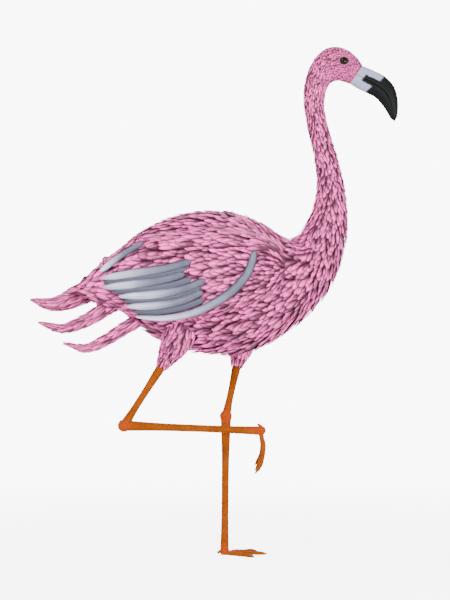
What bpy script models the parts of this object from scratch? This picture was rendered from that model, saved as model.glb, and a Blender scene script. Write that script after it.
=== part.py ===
"""A life-size flamingo standing on its left leg, with the right leg drawn up under the belly.

Metres, +Z up, the bill towards +X and the bird's left side towards +Y. The origin is on the sole of the
standing foot, under the pad from which the three front toes spread.
"""

import math

import bmesh
import bpy
import numpy as np
from mathutils import Matrix, Vector

GAP = 0.0004  # clear space between two pieces that touch
BODY_FORWARD = 0.034  # how far the body's own zero, under its back, lies ahead of the standing foot's pad

# One row for each station from the tail root to the face: the point on the back's outline (x, z), the point
# on the belly's outline (x, z) and half the width there.
BODY_STATIONS = {
    "tail_root": (-0.312, 0.612, -0.292, 0.564, 0.026),
    "rump": (-0.270, 0.666, -0.236, 0.512, 0.068),
    "hips": (-0.200, 0.720, -0.166, 0.462, 0.099),
    "loin": (-0.112, 0.751, -0.084, 0.441, 0.114),
    "back": (-0.024, 0.753, -0.002, 0.438, 0.117),
    "shoulder": (0.044, 0.729, 0.074, 0.466, 0.110),
    "neck_notch": (0.089, 0.701, 0.142, 0.516, 0.095),
    "breast": (0.115, 0.695, 0.194, 0.577, 0.076),
    "crop": (0.134, 0.712, 0.225, 0.646, 0.056),
    "neck_base": (0.156, 0.754, 0.237, 0.721, 0.0405),
    "neck_low": (0.167, 0.814, 0.231, 0.801, 0.0320),
    "neck_middle": (0.160, 0.878, 0.213, 0.873, 0.0275),
    "neck_high": (0.145, 0.940, 0.194, 0.936, 0.0250),
    "nape": (0.138, 0.998, 0.185, 0.982, 0.0240),
    "hindhead": (0.143, 1.042, 0.188, 1.010, 0.0245),
    "poll": (0.158, 1.080, 0.195, 1.028, 0.0260),
    "crown": (0.181, 1.105, 0.204, 1.036, 0.0272),
    "brow": (0.207, 1.113, 0.214, 1.039, 0.0272),
    "forehead": (0.233, 1.107, 0.224, 1.038, 0.0250),
    "lores": (0.255, 1.090, 0.233, 1.034, 0.0215),
    "face": (0.270, 1.070, 0.240, 1.031, 0.0180),
}
STATION = {name: float(number) for number, name in enumerate(BODY_STATIONS)}

# The bill's outlines as (x, z): the upper mandible's ridge, the mouth's edge and the lower one's keel.
CULMEN = (
    (0.2705, 1.0695),
    (0.2930, 1.0600),
    (0.3165, 1.0475),
    (0.3360, 1.0270),
    (0.3450, 1.0000),
    (0.3465, 0.9730),
    (0.3420, 0.9480),
)
MOUTH = (
    (0.2560, 1.0500),
    (0.2760, 1.0385),
    (0.2975, 1.0270),
    (0.3170, 1.0120),
    (0.3285, 0.9910),
    (0.3350, 0.9690),
    (0.3380, 0.9480),
)
KEEL = (
    (0.2420, 1.0310),
    (0.2590, 1.0205),
    (0.2780, 1.0115),
    (0.2975, 1.0005),
    (0.3115, 0.9845),
    (0.3230, 0.9655),
    (0.3320, 0.9465),
)
BILL_HALF_WIDTHS = (0.0165, 0.0162, 0.0158, 0.0145, 0.0120, 0.0085, 0.0025)
MOUTH_GAP = 0.0005

EYE_RADIUS = 0.0105
EYE_AT = (0.2260, 0.0185, 1.0790)  # the left one

# The folded wing, from the wrist at the shoulder to the tip over the tail: place along the body, height of
# its middle, half its height and how thick it lies on the flank.
WING_STATIONS = (
    (0.108, 0.628, 0.012, 0.003),
    (0.082, 0.627, 0.048, 0.012),
    (0.040, 0.626, 0.076, 0.018),
    (-0.030, 0.621, 0.094, 0.020),
    (-0.110, 0.612, 0.100, 0.019),
    (-0.185, 0.606, 0.096, 0.017),
    (-0.250, 0.603, 0.072, 0.013),
    (-0.305, 0.592, 0.040, 0.009),
    (-0.348, 0.583, 0.010, 0.004),
)
WING_LEAVES_FLANK = -0.06  # place along the body from which the wing's outer face runs on freely
WING_FREE_SPREAD = 0.066  # how far from the middle plane it then lies at most
# The silver flight feathers that show on the wing: their run as (x, z) points from root to tip.
FLIGHT_FEATHERS = {
    "tertial": ((-0.208, 0.681), (-0.243, 0.661), (-0.275, 0.640), (-0.304, 0.618)),
    "secondary_1": ((-0.104, 0.640), (-0.160, 0.6245), (-0.228, 0.6145), (-0.302, 0.6045)),
    "secondary_2": ((-0.118, 0.613), (-0.172, 0.599), (-0.232, 0.591), (-0.296, 0.585)),
    "secondary_3": ((-0.074, 0.600), (-0.122, 0.581), (-0.185, 0.5695), (-0.262, 0.5655)),
    "secondary_4": ((-0.080, 0.5755), (-0.128, 0.556), (-0.186, 0.546), (-0.246, 0.5445)),
    "primary": (
        (0.032, 0.666),
        (0.013, 0.612),
        (-0.030, 0.568),
        (-0.094, 0.5335),
        (-0.160, 0.520),
        (-0.226, 0.5225),
    ),
}
FLIGHT_HALF_WIDTH = 0.0112
FLIGHT_THICKNESS = 0.0040
FLIGHT_SUNK = 0.0030  # how deep a vane starts inside the wing, before the wing is cut out of it

# The tail's five drooping plumes, each with an upturned end: their run as (x, z), half their height and half
# their width at the root, and how far to the side they leave the rump and end.
TAIL_PLUMES = {
    "tail_upper": (
        ((-0.236, 0.630), (-0.300, 0.597), (-0.356, 0.566), (-0.408, 0.549), (-0.458, 0.559)),
        (0.026, 0.026),
        (0.0, 0.0),
    ),
    "tail_middle": (
        ((-0.222, 0.580), (-0.285, 0.544), (-0.338, 0.513), (-0.388, 0.496), (-0.436, 0.508)),
        (0.017, 0.017),
        (0.022, 0.034),
    ),
    "tail_lower": (
        ((-0.190, 0.530), (-0.246, 0.500), (-0.296, 0.469), (-0.338, 0.452), (-0.376, 0.461)),
        (0.015, 0.015),
        (0.019, 0.026),
    ),
}

# Legs as points from the belly to the foot. y is the bird's left.
STANDING_THIGH = ((0.018, 0.052, 0.520), (0.004, 0.047, 0.462), (-0.006, 0.040, 0.418))
STANDING_ANKLE = (-0.031, 0.026, 0.302)
STANDING_PAD = (-BODY_FORWARD, 0.0, 0.0052)
BENT_THIGH = ((-0.116, -0.050, 0.520), (-0.142, -0.050, 0.462), (-0.167, -0.048, 0.418))
BENT_ANKLE = (-0.252, -0.046, 0.286)
BENT_PAD = (0.044, -0.034, 0.274)
THIGH_RADII = (0.042, 0.033, 0.0160)
SHIN_RADII = (0.0095, 0.0078, 0.0078, 0.0105)
TARSUS_RADII = (0.0105, 0.0078, 0.0070, 0.0070, 0.0085)
ANKLE_RADIUS = 0.0135

# Feet: which way each points and faces, which side is outwards, and how far its toes spread and curl.
STANDING_FOOT = {"forward": (1, 0, 0), "up": (0, 0, 1), "outwards": 1, "spread": 1.0, "curl": 0.0}
HANGING_FOOT = {
    "forward": (0.28, 0, -0.96),
    "up": (0.96, 0, 0.28),
    "outwards": -1,
    "spread": 0.55,
    "curl": 0.35,
}
# The length of each front toe and its angle from the middle one, outwards positive.
TOES = {"inner": (0.076, -37.0), "middle": (0.088, 0.0), "outer": (0.083, 36.0)}
TOE_RADII = (0.0064, 0.0052, 0.0056, 0.0046, 0.0048, 0.0036)
HIND_TOE = 0.016
HIND_TOE_RADII = (0.0045, 0.0036, 0.0024)
HEEL_RADIUS = 0.0098
CLAW = 0.008
CLAW_RADII = (0.0023, 0.0018, 0.0006)
WEB_THICKNESS = 0.0016
SOLE = 0.0  # the level on which the standing foot rests

PINK = (0.86, 0.33, 0.56, 1.0)
SILVER = (0.55, 0.58, 0.68, 1.0)
ORANGE = (0.72, 0.20, 0.012, 1.0)
GREY_HORN = (0.42, 0.44, 0.52, 1.0)
BLACK_HORN = (0.012, 0.013, 0.013, 1.0)


def clear_scene():
    for obj in list(bpy.data.objects):
        bpy.data.objects.remove(obj)


def collection(name):
    made = bpy.data.collections.new(name)
    bpy.context.scene.collection.children.link(made)
    return made


def material(name, colour, roughness, metallic=0.0):
    made = bpy.data.materials.new(name)
    made.use_nodes = True
    surface = made.node_tree.nodes["Principled BSDF"]
    surface.inputs["Base Color"].default_value = colour
    surface.inputs["Roughness"].default_value = roughness
    surface.inputs["Metallic"].default_value = metallic
    return made


def through(points, at):
    """Smooth curve through rows of numbers (Catmull-Rom), read at positions counted in rows from 0."""
    rows = np.asarray(points, float)
    at = np.clip(np.atleast_1d(np.asarray(at, float)), 0.0, len(rows) - 1.0)
    padded = np.vstack([2 * rows[0] - rows[1], rows, 2 * rows[-1] - rows[-2]])
    start = np.minimum(at.astype(int), len(rows) - 2)
    before, here, there, after = (padded[start + step] for step in range(4))
    part = (at - start)[:, None]
    return 0.5 * (
        2 * here
        + (there - before) * part
        + (2 * before - 5 * here + 4 * there - after) * part**2
        + (3 * here - before - 3 * there + after) * part**3
    )


def weld(mesh):
    work = bmesh.new()
    work.from_mesh(mesh)
    bmesh.ops.remove_doubles(work, verts=work.verts, dist=1e-6)
    work.to_mesh(mesh)
    work.free()


def mesh_object(name, mesh, group, surface):
    made = bpy.data.objects.new(name, mesh)
    group.objects.link(made)
    if surface:
        mesh.materials.append(surface)
    return made


def loft(name, rings, group, surface):
    """Closed solid through rings that all have the same number of points, with a flat cap at each end."""
    rings = np.asarray(rings, float)
    count, sides = rings.shape[:2]
    faces = [
        (row + a, row + (a + 1) % sides, row + sides + (a + 1) % sides, row + sides + a)
        for row in range(0, (count - 1) * sides, sides)
        for a in range(sides)
    ]
    faces.append(tuple(range(sides))[::-1])
    faces.append(tuple((count - 1) * sides + a for a in range(sides)))
    mesh = bpy.data.meshes.new(name)
    mesh.from_pydata(rings.reshape(-1, 3).tolist(), [], faces)
    tidy_mesh(mesh)
    mesh.shade_smooth()
    mesh.set_sharp_from_angle(angle=math.radians(40))
    return mesh_object(name, mesh, group, surface)


def tidy_mesh(mesh):
    """Closes the seams, turns the faces outwards and makes triangles of them, so a copy bends alike."""
    work = bmesh.new()
    work.from_mesh(mesh)
    bmesh.ops.remove_doubles(work, verts=work.verts, dist=1e-6)
    bmesh.ops.recalc_face_normals(work, faces=work.faces)
    bmesh.ops.triangulate(work, faces=work.faces, quad_method="SHORT_EDGE")
    work.to_mesh(mesh)
    work.free()


def tube(name, points, radii, group, surface, sides=2, steps=2):
    """Round limb as a curve with a radius at each point, made a mesh so that it can be cut."""
    run = through(points, np.linspace(0, len(points) - 1, steps * (len(points) - 1) + 1))
    share = np.linspace(0, len(radii) - 1, len(run))
    thick = through([(r,) for r in radii], share)[:, 0]
    curve = bpy.data.curves.new(name, "CURVE")
    curve.dimensions = "3D"
    curve.bevel_depth = 1.0
    curve.bevel_resolution = sides
    curve.use_fill_caps = True
    spline = curve.splines.new("POLY")
    spline.points.add(len(run) - 1)
    for point, place, radius in zip(spline.points, run, thick):
        point.co = (*place, 1.0)
        point.radius = radius
    drawn = bpy.data.objects.new(name + "_curve", curve)
    group.objects.link(drawn)
    bpy.context.view_layer.update()
    graph = bpy.context.evaluated_depsgraph_get()
    mesh = bpy.data.meshes.new_from_object(drawn.evaluated_get(graph))
    mesh.name = name
    mesh.materials.clear()
    tidy_mesh(mesh)
    mesh.shade_smooth()
    mesh.set_sharp_from_angle(angle=math.radians(40))
    bpy.data.objects.remove(drawn)
    return mesh_object(name, mesh, group, surface)


def ball(name, centre, radii, group, surface, segments=16, rings=10):
    mesh = bpy.data.meshes.new(name)
    work = bmesh.new()
    bmesh.ops.create_uvsphere(work, u_segments=segments, v_segments=rings, radius=1.0)
    bmesh.ops.scale(work, vec=Vector(radii), verts=work.verts)
    bmesh.ops.translate(work, vec=Vector(centre), verts=work.verts)
    work.to_mesh(mesh)
    work.free()
    mesh.shade_smooth()
    return mesh_object(name, mesh, group, surface)


def hide(cutter):
    cutter.hide_render = True
    cutter.display_type = "WIRE"


def form(piece):
    """The piece's shape before anything is cut from it, kept to cut its neighbours."""
    kept = piece.data.copy()
    kept.name = piece.name + "_form"
    return kept


def swollen(kept, cutters):
    """Cutter of a kept form, grown on all sides by the clear gap."""
    work = bmesh.new()
    work.from_mesh(kept)
    work.normal_update()
    for vert in work.verts:
        vert.co += vert.normal * (GAP * vert.calc_shell_factor())
    mesh = bpy.data.meshes.new(kept.name + "_grown")
    work.to_mesh(mesh)
    work.free()
    cutter = bpy.data.objects.new(mesh.name, mesh)
    cutters.objects.link(cutter)
    hide(cutter)
    return cutter


def boolean(piece, other, operation):
    """Cuts or joins at once, so that the piece's own mesh holds the result."""
    step = piece.modifiers.new(operation.title(), "BOOLEAN")
    step.operation = operation
    step.object = other
    step.solver = "EXACT"
    bpy.context.view_layer.update()
    graph = bpy.context.evaluated_depsgraph_get()
    mesh = bpy.data.meshes.new_from_object(piece.evaluated_get(graph))
    piece.modifiers.remove(step)
    surface = piece.data.materials[0]
    piece.data = mesh
    mesh.name = piece.name
    weld(mesh)
    mesh.materials.clear()
    mesh.materials.append(surface)
    mesh.polygons.foreach_set("material_index", [0] * len(mesh.polygons))
    return piece


def join(piece, others):
    for other in others:
        boolean(piece, other, "UNION")
        bpy.data.objects.remove(other)
    return piece


# ---------------------------------------------------------------- body, neck and head


def body_rows(at):
    return through(list(BODY_STATIONS.values()), at)


def body_rings(at, sides):
    """Oval rings between the back's outline and the belly's, each in its own flat plane."""
    turn = np.linspace(0, 2 * math.pi, sides, endpoint=False)
    rings = []
    for back_x, back_z, belly_x, belly_z, half_width in body_rows(at):
        middle = np.array([(back_x + belly_x) / 2, 0.0, (back_z + belly_z) / 2])
        up = np.array([(back_x - belly_x) / 2, 0.0, (back_z - belly_z) / 2])
        side = np.array([0.0, half_width, 0.0])
        rings.append(middle + np.cos(turn)[:, None] * up + np.sin(turn)[:, None] * side)
    return rings


def stretch(first, last, pieces):
    """Even steps from one station to another, stopping short of the next piece by the gap."""
    ends = np.array([STATION[first], STATION[last]])
    middles = body_rows(ends)
    beyond = body_rows(ends[1] - 0.1)
    run = math.dist(
        ((middles[1, 0] + middles[1, 2]) / 2, (middles[1, 1] + middles[1, 3]) / 2),
        ((beyond[0, 0] + beyond[0, 2]) / 2, (beyond[0, 1] + beyond[0, 3]) / 2),
    )
    return np.linspace(ends[0], ends[1] - 0.1 * 1.5 * GAP / run, pieces + 1)


def flank(x, z):
    """Half the trunk's width at a place along the body and a height, 0 where there is no trunk."""
    rows = body_rows(np.linspace(0, STATION["crop"], 200))
    back, belly = rows[:, 0:2], rows[:, 2:4]
    middle, up = (back + belly) / 2, (back - belly) / 2
    half = np.linalg.norm(up, axis=1)
    offset = np.array([x, z]) - middle
    aside = np.abs(offset[:, 0] * up[:, 1] - offset[:, 1] * up[:, 0]) / half
    height = np.sum(offset * up, axis=1) / half**2
    there = (aside < 0.003) & (np.abs(height) < 1)
    return np.max(rows[:, 4] * np.sqrt(np.maximum(0.0, 1 - height**2)) * there)


def eased(share):
    share = min(1.0, max(0.0, share))
    return share * share * (3 - 2 * share)


# ---------------------------------------------------------------- wings


def wing_row(x):
    """Height of the wing's middle, its half height and its thickness at a place along the body."""
    table = np.array(WING_STATIONS)
    at = np.interp(-x, -table[:, 0], np.arange(len(table)))
    return through(table, at)[0, 1:]


def wing_face(x, z):
    """How far from the middle plane the wing's outer face lies: over the flank, then free behind it."""
    middle, half, thick = wing_row(x)
    share = min(1.0, abs(z - middle) / half)
    behind = WING_LEAVES_FLANK - x
    free = WING_FREE_SPREAD * eased(behind / 0.14) * (1 - 0.4 * eased((behind - 0.12) / 0.18))
    return (flank(x, z) ** 4 + free**4) ** 0.25 + thick * (1 - share**4)


def wing_rings(side, count=13, across=8):
    places = through(WING_STATIONS, np.linspace(0, len(WING_STATIONS) - 1, count))[:, 0]
    rings = []
    for x in places:
        middle, half, thick = wing_row(x)
        heights = middle + half * np.cos(np.linspace(0, math.pi, across))
        outer = [(x, side * wing_face(x, z), z) for z in heights]
        depth = 2.2 * thick
        below = heights[1:-1][::-1]
        inner = [(x, side * (wing_face(x, z) - depth), z + 0.06 * (middle - z)) for z in below]
        rings.append(outer + inner)
    return rings


def flight_feather_rings(run, side):
    """Thin vane that lies on the wing's outer face, a little wider past its middle and round at its tip."""
    count = len(run) + 2
    line = through(run, np.linspace(0, len(run) - 1, count))
    along = np.gradient(line, axis=0)
    along /= np.linalg.norm(along, axis=1)[:, None]
    rings = []
    for number, ((x, z), (step_x, step_z)) in enumerate(zip(line, along)):
        share = number / (count - 1)
        swell = 0.74 + 0.52 * share - 0.26 * share**2
        half = FLIGHT_HALF_WIDTH * swell * math.sqrt(max(0.03, 1 - share**6))
        ring = []
        for across, lift in ((-1, 0.4), (-0.4, 1.0), (0.4, 1.0), (1, 0.4), (0.5, -1), (-0.5, -1)):
            px, pz = x - step_z * half * across, z + step_x * half * across
            out = wing_face(px, pz) + (FLIGHT_THICKNESS if lift > 0 else FLIGHT_SUNK) * lift
            ring.append((px, side * out, pz))
        rings.append(ring)
    return rings


# ---------------------------------------------------------------- tail


def plume_rings(run, half_sizes, side_start, side_end, count=9, sides=8):
    """Oval rings along a plume that tapers to its tip and leaves the middle plane by its side distances."""
    half_height, half_width = half_sizes
    line = through(run, np.linspace(0, len(run) - 1, count))
    along = np.gradient(line, axis=0)
    along /= np.linalg.norm(along, axis=1)[:, None]
    turn = np.linspace(0, 2 * math.pi, sides, endpoint=False)
    rings = []
    for number, ((x, z), (step_x, step_z)) in enumerate(zip(line, along)):
        share = number / (count - 1)
        taper = (1 - share**2.4) ** 0.8 + 0.05
        y = side_start + (side_end - side_start) * share
        ring = [
            (
                x - step_z * half_height * taper * math.cos(a),
                y + half_width * taper * math.sin(a),
                z + step_x * half_height * taper * math.cos(a),
            )
            for a in turn
        ]
        rings.append(ring)
    return rings


# ---------------------------------------------------------------- bill


def bill_rings(upper, count=12):
    """Rings between the mouth's edge and the ridge above it, or the keel below it, flat along the mouth."""
    at = np.linspace(0, len(MOUTH) - 1, count)
    edge = through(MOUTH, at)
    far = through(CULMEN if upper else KEEL, at)
    widths = through([(w,) for w in BILL_HALF_WIDTHS], at)[:, 0]
    arc = np.linspace(0, math.pi, 8)
    rings = []
    for (edge_x, edge_z), (far_x, far_z), width in zip(edge, far, widths):
        rise = np.array([far_x - edge_x, 0.0, far_z - edge_z])
        lift = rise / np.linalg.norm(rise) * MOUTH_GAP
        base = np.array([edge_x, 0.0, edge_z]) + lift
        width = width if upper else 0.94 * width
        bow = [base + rise * math.sin(a) ** 0.85 + np.array([0.0, width * math.cos(a), 0.0]) for a in arc]
        floor = [base + np.array([0.0, width * y, 0.0]) for y in (-0.5, 0.0, 0.5)]
        rings.append(bow + floor)
    return rings


# ---------------------------------------------------------------- legs and feet


def unit(vector):
    return np.asarray(vector, float) / np.linalg.norm(vector)


def limb(name, start, end, radii, group, surface):
    """Straight limb of changing thickness."""
    start, end = np.asarray(start, float), np.asarray(end, float)
    points = [start + (end - start) * share for share in (0, 0.33, 0.67, 1)]
    return tube(name, points, radii, group, surface)


def toe_line(pad, forward, side, up, length, angle, curl, count):
    """Points along a toe from the pad: it leaves at an angle and bends towards the sole by curl.

    The line sinks as the toe thins, so that the underside of a straight toe is flat.
    """
    shares = np.linspace(0, 1, count)
    lean = math.radians(angle)
    heading = math.cos(lean) * forward + math.sin(lean) * side
    drop = curl * shares**1.6
    radii = through([(r,) for r in TOE_RADII], shares * (len(TOE_RADII) - 1))[:, 0]
    sink = radii - TOE_RADII[0]
    return [
        np.asarray(pad) + length * s * (math.cos(d) * heading - math.sin(d) * up) + low * up
        for s, d, low in zip(shares, drop, sink)
    ]


def web_rings(inner_line, outer_line, up, count=5):
    """Thin skin between two toes, with a hollow front edge."""
    inner_line, outer_line = np.array(inner_line), np.array(outer_line)
    rings = []
    for share in np.linspace(0.03, 0.98, count):
        reach = 0.95 - 0.17 * math.sin(math.pi * share)
        at = np.linspace(0.06, reach, 5) * (len(inner_line) - 1)
        middle = (1 - share) * through(inner_line, at) + share * through(outer_line, at) - 0.0004 * up
        lift = up * WEB_THICKNESS / 2
        rings.append(list(middle + lift) + list((middle - lift)[::-1]))
    return rings


def foot(name, pad, stance, group, skin, horn):
    """Three webbed front toes and a short hind toe joined in one piece, and a claw for each front toe.

    The stance says which way the foot points and faces, which side is outwards, how far the toes spread
    and how far they curl. Returns the piece and the forms at its root, which cut the tarsus.
    """
    forward, up = unit(stance["forward"]), unit(stance["up"])
    spread, curl = stance["spread"], stance["curl"]
    side = stance["outwards"] * unit(np.cross(up, forward))
    lines = {}
    toes = []
    for toe, (length, angle) in TOES.items():
        lines[toe] = toe_line(pad, forward, side, up, length, angle * spread, curl, 6)
        toes.append(tube(f"{name}_{toe}", lines[toe], TOE_RADII, group, skin, sides=2, steps=1))
    webs = [
        loft(f"{name}_web_{a}", web_rings(lines[a], lines[b], up), group, skin)
        for a, b in (("inner", "middle"), ("middle", "outer"))
    ]
    hind_tip = np.asarray(pad) - HIND_TOE * forward - 0.0042 * up
    hind_root = np.asarray(pad) + 0.008 * up
    hind_run = (hind_root, (hind_root + hind_tip) / 2, hind_tip)
    hind = tube(f"{name}_hind", hind_run, HIND_TOE_RADII, group, skin, sides=1, steps=1)
    heel = ball(f"{name}_heel", np.asarray(pad) + 0.002 * up, (HEEL_RADIUS,) * 3, group, skin, 12, 8)
    forms = [form(shape) for shape in (heel, hind, *toes)]
    made = join(heel, [*toes, *webs, hind])
    made.name = name
    for toe, line in lines.items():
        heading = unit(line[-1] - line[-2])
        root = line[-1] + heading * (GAP + 0.0002)
        heading = unit(heading - up * np.dot(heading, up)) if curl == 0.0 else heading
        root = root + up * 0.0006
        points = [root, root + heading * CLAW * 0.5, root + heading * CLAW - up * 0.0011]
        tube(f"{name}_claw_{toe}", points, CLAW_RADII, group, horn, sides=1, steps=1)
    return made, forms


def flat_sole(piece, cutters):
    """Cuts a standing piece level, so that it rests on a real flat."""
    mesh = bpy.data.meshes.new(piece.name + "_floor")
    work = bmesh.new()
    bmesh.ops.create_cube(work, size=0.4)
    bmesh.ops.translate(work, vec=(0.0, 0.0, SOLE - 0.2), verts=work.verts)
    work.to_mesh(mesh)
    work.free()
    floor = bpy.data.objects.new(piece.name + "_floor", mesh)
    cutters.objects.link(floor)
    hide(floor)
    boolean(piece, floor, "DIFFERENCE")


def cut_by(piece, forms, cutters):
    """Takes each neighbour's form and its gap out of a piece."""
    for kept in forms:
        boolean(piece, swollen(kept, cutters), "DIFFERENCE")
    return piece


def leg(side_name, thigh_run, ankle, pad, trunk, group, cutters, skins):
    """Feathered thigh, bare shin and tarsus with its ankle knob, each cut to meet the last with a gap."""
    feathers, scales = skins
    thigh = tube(f"thigh_{side_name}", thigh_run, THIGH_RADII, group, feathers, sides=4, steps=3)
    knob_radii = (ANKLE_RADIUS, ANKLE_RADIUS * 0.85, ANKLE_RADIUS)
    knob = ball(f"ankle_{side_name}", ankle, knob_radii, group, scales, 12, 8)
    way_down = unit(np.subtract(thigh_run[-1], thigh_run[-2]))
    top = np.asarray(thigh_run[-1]) + way_down * GAP
    shin = limb(f"shin_{side_name}", top, ankle, SHIN_RADII, group, scales)
    tarsus = limb(f"tarsus_{side_name}", ankle, pad, TARSUS_RADII, group, scales)
    cut_by(shin, [form(thigh), form(tarsus), form(knob)], cutters)
    cut_by(thigh, [trunk], cutters)
    join(tarsus, [knob])
    return tarsus


def build():
    clear_scene()
    bird, cutters = collection("flamingo"), collection("cutters")
    feathers = material("pink_feathers", PINK, 0.85)
    silver = material("silver_feathers", SILVER, 0.6)
    scales = material("orange_leg_skin", ORANGE, 0.55)
    grey_horn = material("grey_horn", GREY_HORN, 0.4)
    black_horn = material("black_horn", BLACK_HORN, 0.35)
    eye_black = material("eye", BLACK_HORN, 0.08)

    # Body: one form from tail root to face, parted by thin flat cuts.
    trunk = form(loft("trunk", body_rings(stretch("tail_root", "crop", 18), 22), bird, feathers))
    loft("neck_lower", body_rings(stretch("crop", "neck_low", 6), 16), bird, feathers)
    loft("neck_middle", body_rings(stretch("neck_low", "neck_high", 6), 16), bird, feathers)
    loft("neck_upper", body_rings(stretch("neck_high", "hindhead", 6), 16), bird, feathers)
    head = loft("head", body_rings(stretch("hindhead", "face", 10), 16), bird, feathers)

    # Eyes sit in sockets of their own size.
    x, y, z = EYE_AT
    for side_name, side in (("left", 1), ("right", -1)):
        eye = ball(f"eye_{side_name}", (x, side * y, z), (EYE_RADIUS,) * 3, bird, eye_black, 10, 6)
        cut_by(head, [form(eye)], cutters)

    loft("bill_upper", bill_rings(upper=True), bird, grey_horn)
    loft("bill_lower", bill_rings(upper=False), bird, grey_horn)

    wings = []
    for side_name, side in (("left", 1), ("right", -1)):
        wing = loft(f"wing_{side_name}", wing_rings(side), bird, feathers)
        wings.append(form(wing))
        cut_by(wing, [trunk], cutters)
        for name, run in FLIGHT_FEATHERS.items():
            vane = loft(f"wing_{side_name}_{name}", flight_feather_rings(run, side), bird, silver)
            cut_by(vane, [trunk, wings[-1]], cutters)

    # Each plume leaves from between the trunk, the wings and the plumes above it.
    above = []
    for name, (run, half_sizes, (start, end)) in TAIL_PLUMES.items():
        for side_name, side in (("_left", 1), ("_right", -1)) if start else (("", 0),):
            rings = plume_rings(run, half_sizes, side * start, side * end)
            plume = loft(name + side_name, rings, bird, feathers)
            whole = form(plume)
            cut_by(plume, [*wings, *above, trunk], cutters)
            above.append(whole)

    skins = (feathers, scales)
    tarsus = leg("left", STANDING_THIGH, STANDING_ANKLE, STANDING_PAD, trunk, bird, cutters, skins)
    made, forms = foot("foot_left", STANDING_PAD, STANDING_FOOT, bird, scales, black_horn)
    flat_sole(made, cutters)
    cut_by(tarsus, forms, cutters)

    tarsus = leg("right", BENT_THIGH, BENT_ANKLE, BENT_PAD, trunk, bird, cutters, skins)
    made, forms = foot("foot_right", BENT_PAD, HANGING_FOOT, bird, scales, black_horn)
    cut_by(tarsus, forms, cutters)

    for piece in bird.objects:
        piece.data.transform(Matrix.Translation((BODY_FORWARD, 0.0, 0.0)))


build()
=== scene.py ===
"""The looks of a life-size flamingo standing on one leg: skin, horn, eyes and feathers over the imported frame.

Metres, in the frame's own axes: +Z up, the bill towards +X and the bird's left side towards +Y.
"""

import math
from functools import partial

import bpy
import numpy as np
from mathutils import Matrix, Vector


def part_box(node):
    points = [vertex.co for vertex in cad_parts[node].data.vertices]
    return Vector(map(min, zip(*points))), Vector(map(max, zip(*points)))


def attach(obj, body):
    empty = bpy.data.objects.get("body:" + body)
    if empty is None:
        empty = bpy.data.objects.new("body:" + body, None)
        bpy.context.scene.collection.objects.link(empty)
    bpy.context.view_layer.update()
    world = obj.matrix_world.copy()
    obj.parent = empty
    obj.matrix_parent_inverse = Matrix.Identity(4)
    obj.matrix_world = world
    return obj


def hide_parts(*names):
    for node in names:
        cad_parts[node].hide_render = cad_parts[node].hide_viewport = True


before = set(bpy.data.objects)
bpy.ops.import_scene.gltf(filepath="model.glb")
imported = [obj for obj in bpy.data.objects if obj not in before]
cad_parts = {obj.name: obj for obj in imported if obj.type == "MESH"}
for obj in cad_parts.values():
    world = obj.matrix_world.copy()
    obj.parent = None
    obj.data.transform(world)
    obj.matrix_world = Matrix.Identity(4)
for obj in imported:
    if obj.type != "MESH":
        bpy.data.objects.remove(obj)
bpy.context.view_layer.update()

# ---------------------------------------------------------------- skin of body, neck and head
# One skin covers trunk, neck, head, wings, thighs, shins and feet, grown together without a seam. Under the
# feathers it is thin and pink; below the thighs it is bare, scaly and orange.

SIDES = {"left": 1, "right": -1}
BODY_FORWARD = 0.034  # the body's own zero lies this far ahead of the standing foot's pad
# Stations from tail root to face: the back's outline (x, z), the belly's outline (x, z) and half the width.
STATIONS = (
    (-0.312, 0.612, -0.292, 0.564, 0.026),
    (-0.270, 0.666, -0.236, 0.512, 0.068),
    (-0.200, 0.720, -0.166, 0.462, 0.099),
    (-0.112, 0.751, -0.084, 0.441, 0.114),
    (-0.024, 0.753, -0.002, 0.438, 0.117),
    (0.044, 0.729, 0.074, 0.466, 0.110),
    (0.089, 0.701, 0.142, 0.516, 0.095),
    (0.115, 0.695, 0.194, 0.577, 0.076),
    (0.134, 0.712, 0.225, 0.646, 0.056),
    (0.156, 0.754, 0.237, 0.721, 0.0405),
    (0.167, 0.814, 0.231, 0.801, 0.0320),
    (0.160, 0.878, 0.213, 0.873, 0.0275),
    (0.145, 0.940, 0.194, 0.936, 0.0250),
    (0.138, 0.998, 0.185, 0.982, 0.0240),
    (0.143, 1.042, 0.188, 1.010, 0.0245),
    (0.158, 1.080, 0.195, 1.028, 0.0260),
    (0.181, 1.105, 0.204, 1.036, 0.0272),
    (0.207, 1.113, 0.214, 1.039, 0.0272),
    (0.233, 1.107, 0.224, 1.038, 0.0250),
    (0.255, 1.090, 0.233, 1.034, 0.0215),
    (0.270, 1.070, 0.240, 1.031, 0.0180),
)
CROP, HINDHEAD, FACE = 8.0, 14.0, 20.0
# The head's own modelling: station, turn from the crown, reach along and round, and how far it stands out.
HEAD_FORMS = (
    (16.9, 0.85, 0.90, 0.30, 0.0018),  # brow over the eye
    (18.7, 1.35, 0.80, 0.40, -0.0022),  # hollow lores before it
    (16.2, 2.10, 1.20, 0.45, 0.0020),  # cheek
    (17.9, 3.14, 1.40, 0.50, 0.0015),  # chin
)


def through(points, at):
    """Smooth curve through rows of numbers (Catmull-Rom), read at positions counted in rows from 0."""
    rows = np.asarray(points, float)
    at = np.asarray(at, float)
    flat = np.clip(at.ravel(), 0.0, len(rows) - 1.0)
    padded = np.vstack([2 * rows[0] - rows[1], rows, 2 * rows[-1] - rows[-2]])
    start = np.minimum(flat.astype(int), len(rows) - 2)
    before, here, there, after = (padded[start + step] for step in range(4))
    part = (flat - start)[:, None]
    curve = 0.5 * (
        2 * here
        + (there - before) * part
        + (2 * before - 5 * here + 4 * there - after) * part**2
        + (3 * here - before - 3 * there + after) * part**3
    )
    return curve.reshape(at.shape + (rows.shape[1],))


def graded(values, at):
    """The same curve through plain numbers."""
    return through(np.reshape(values, (-1, 1)), at)[..., 0]


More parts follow.
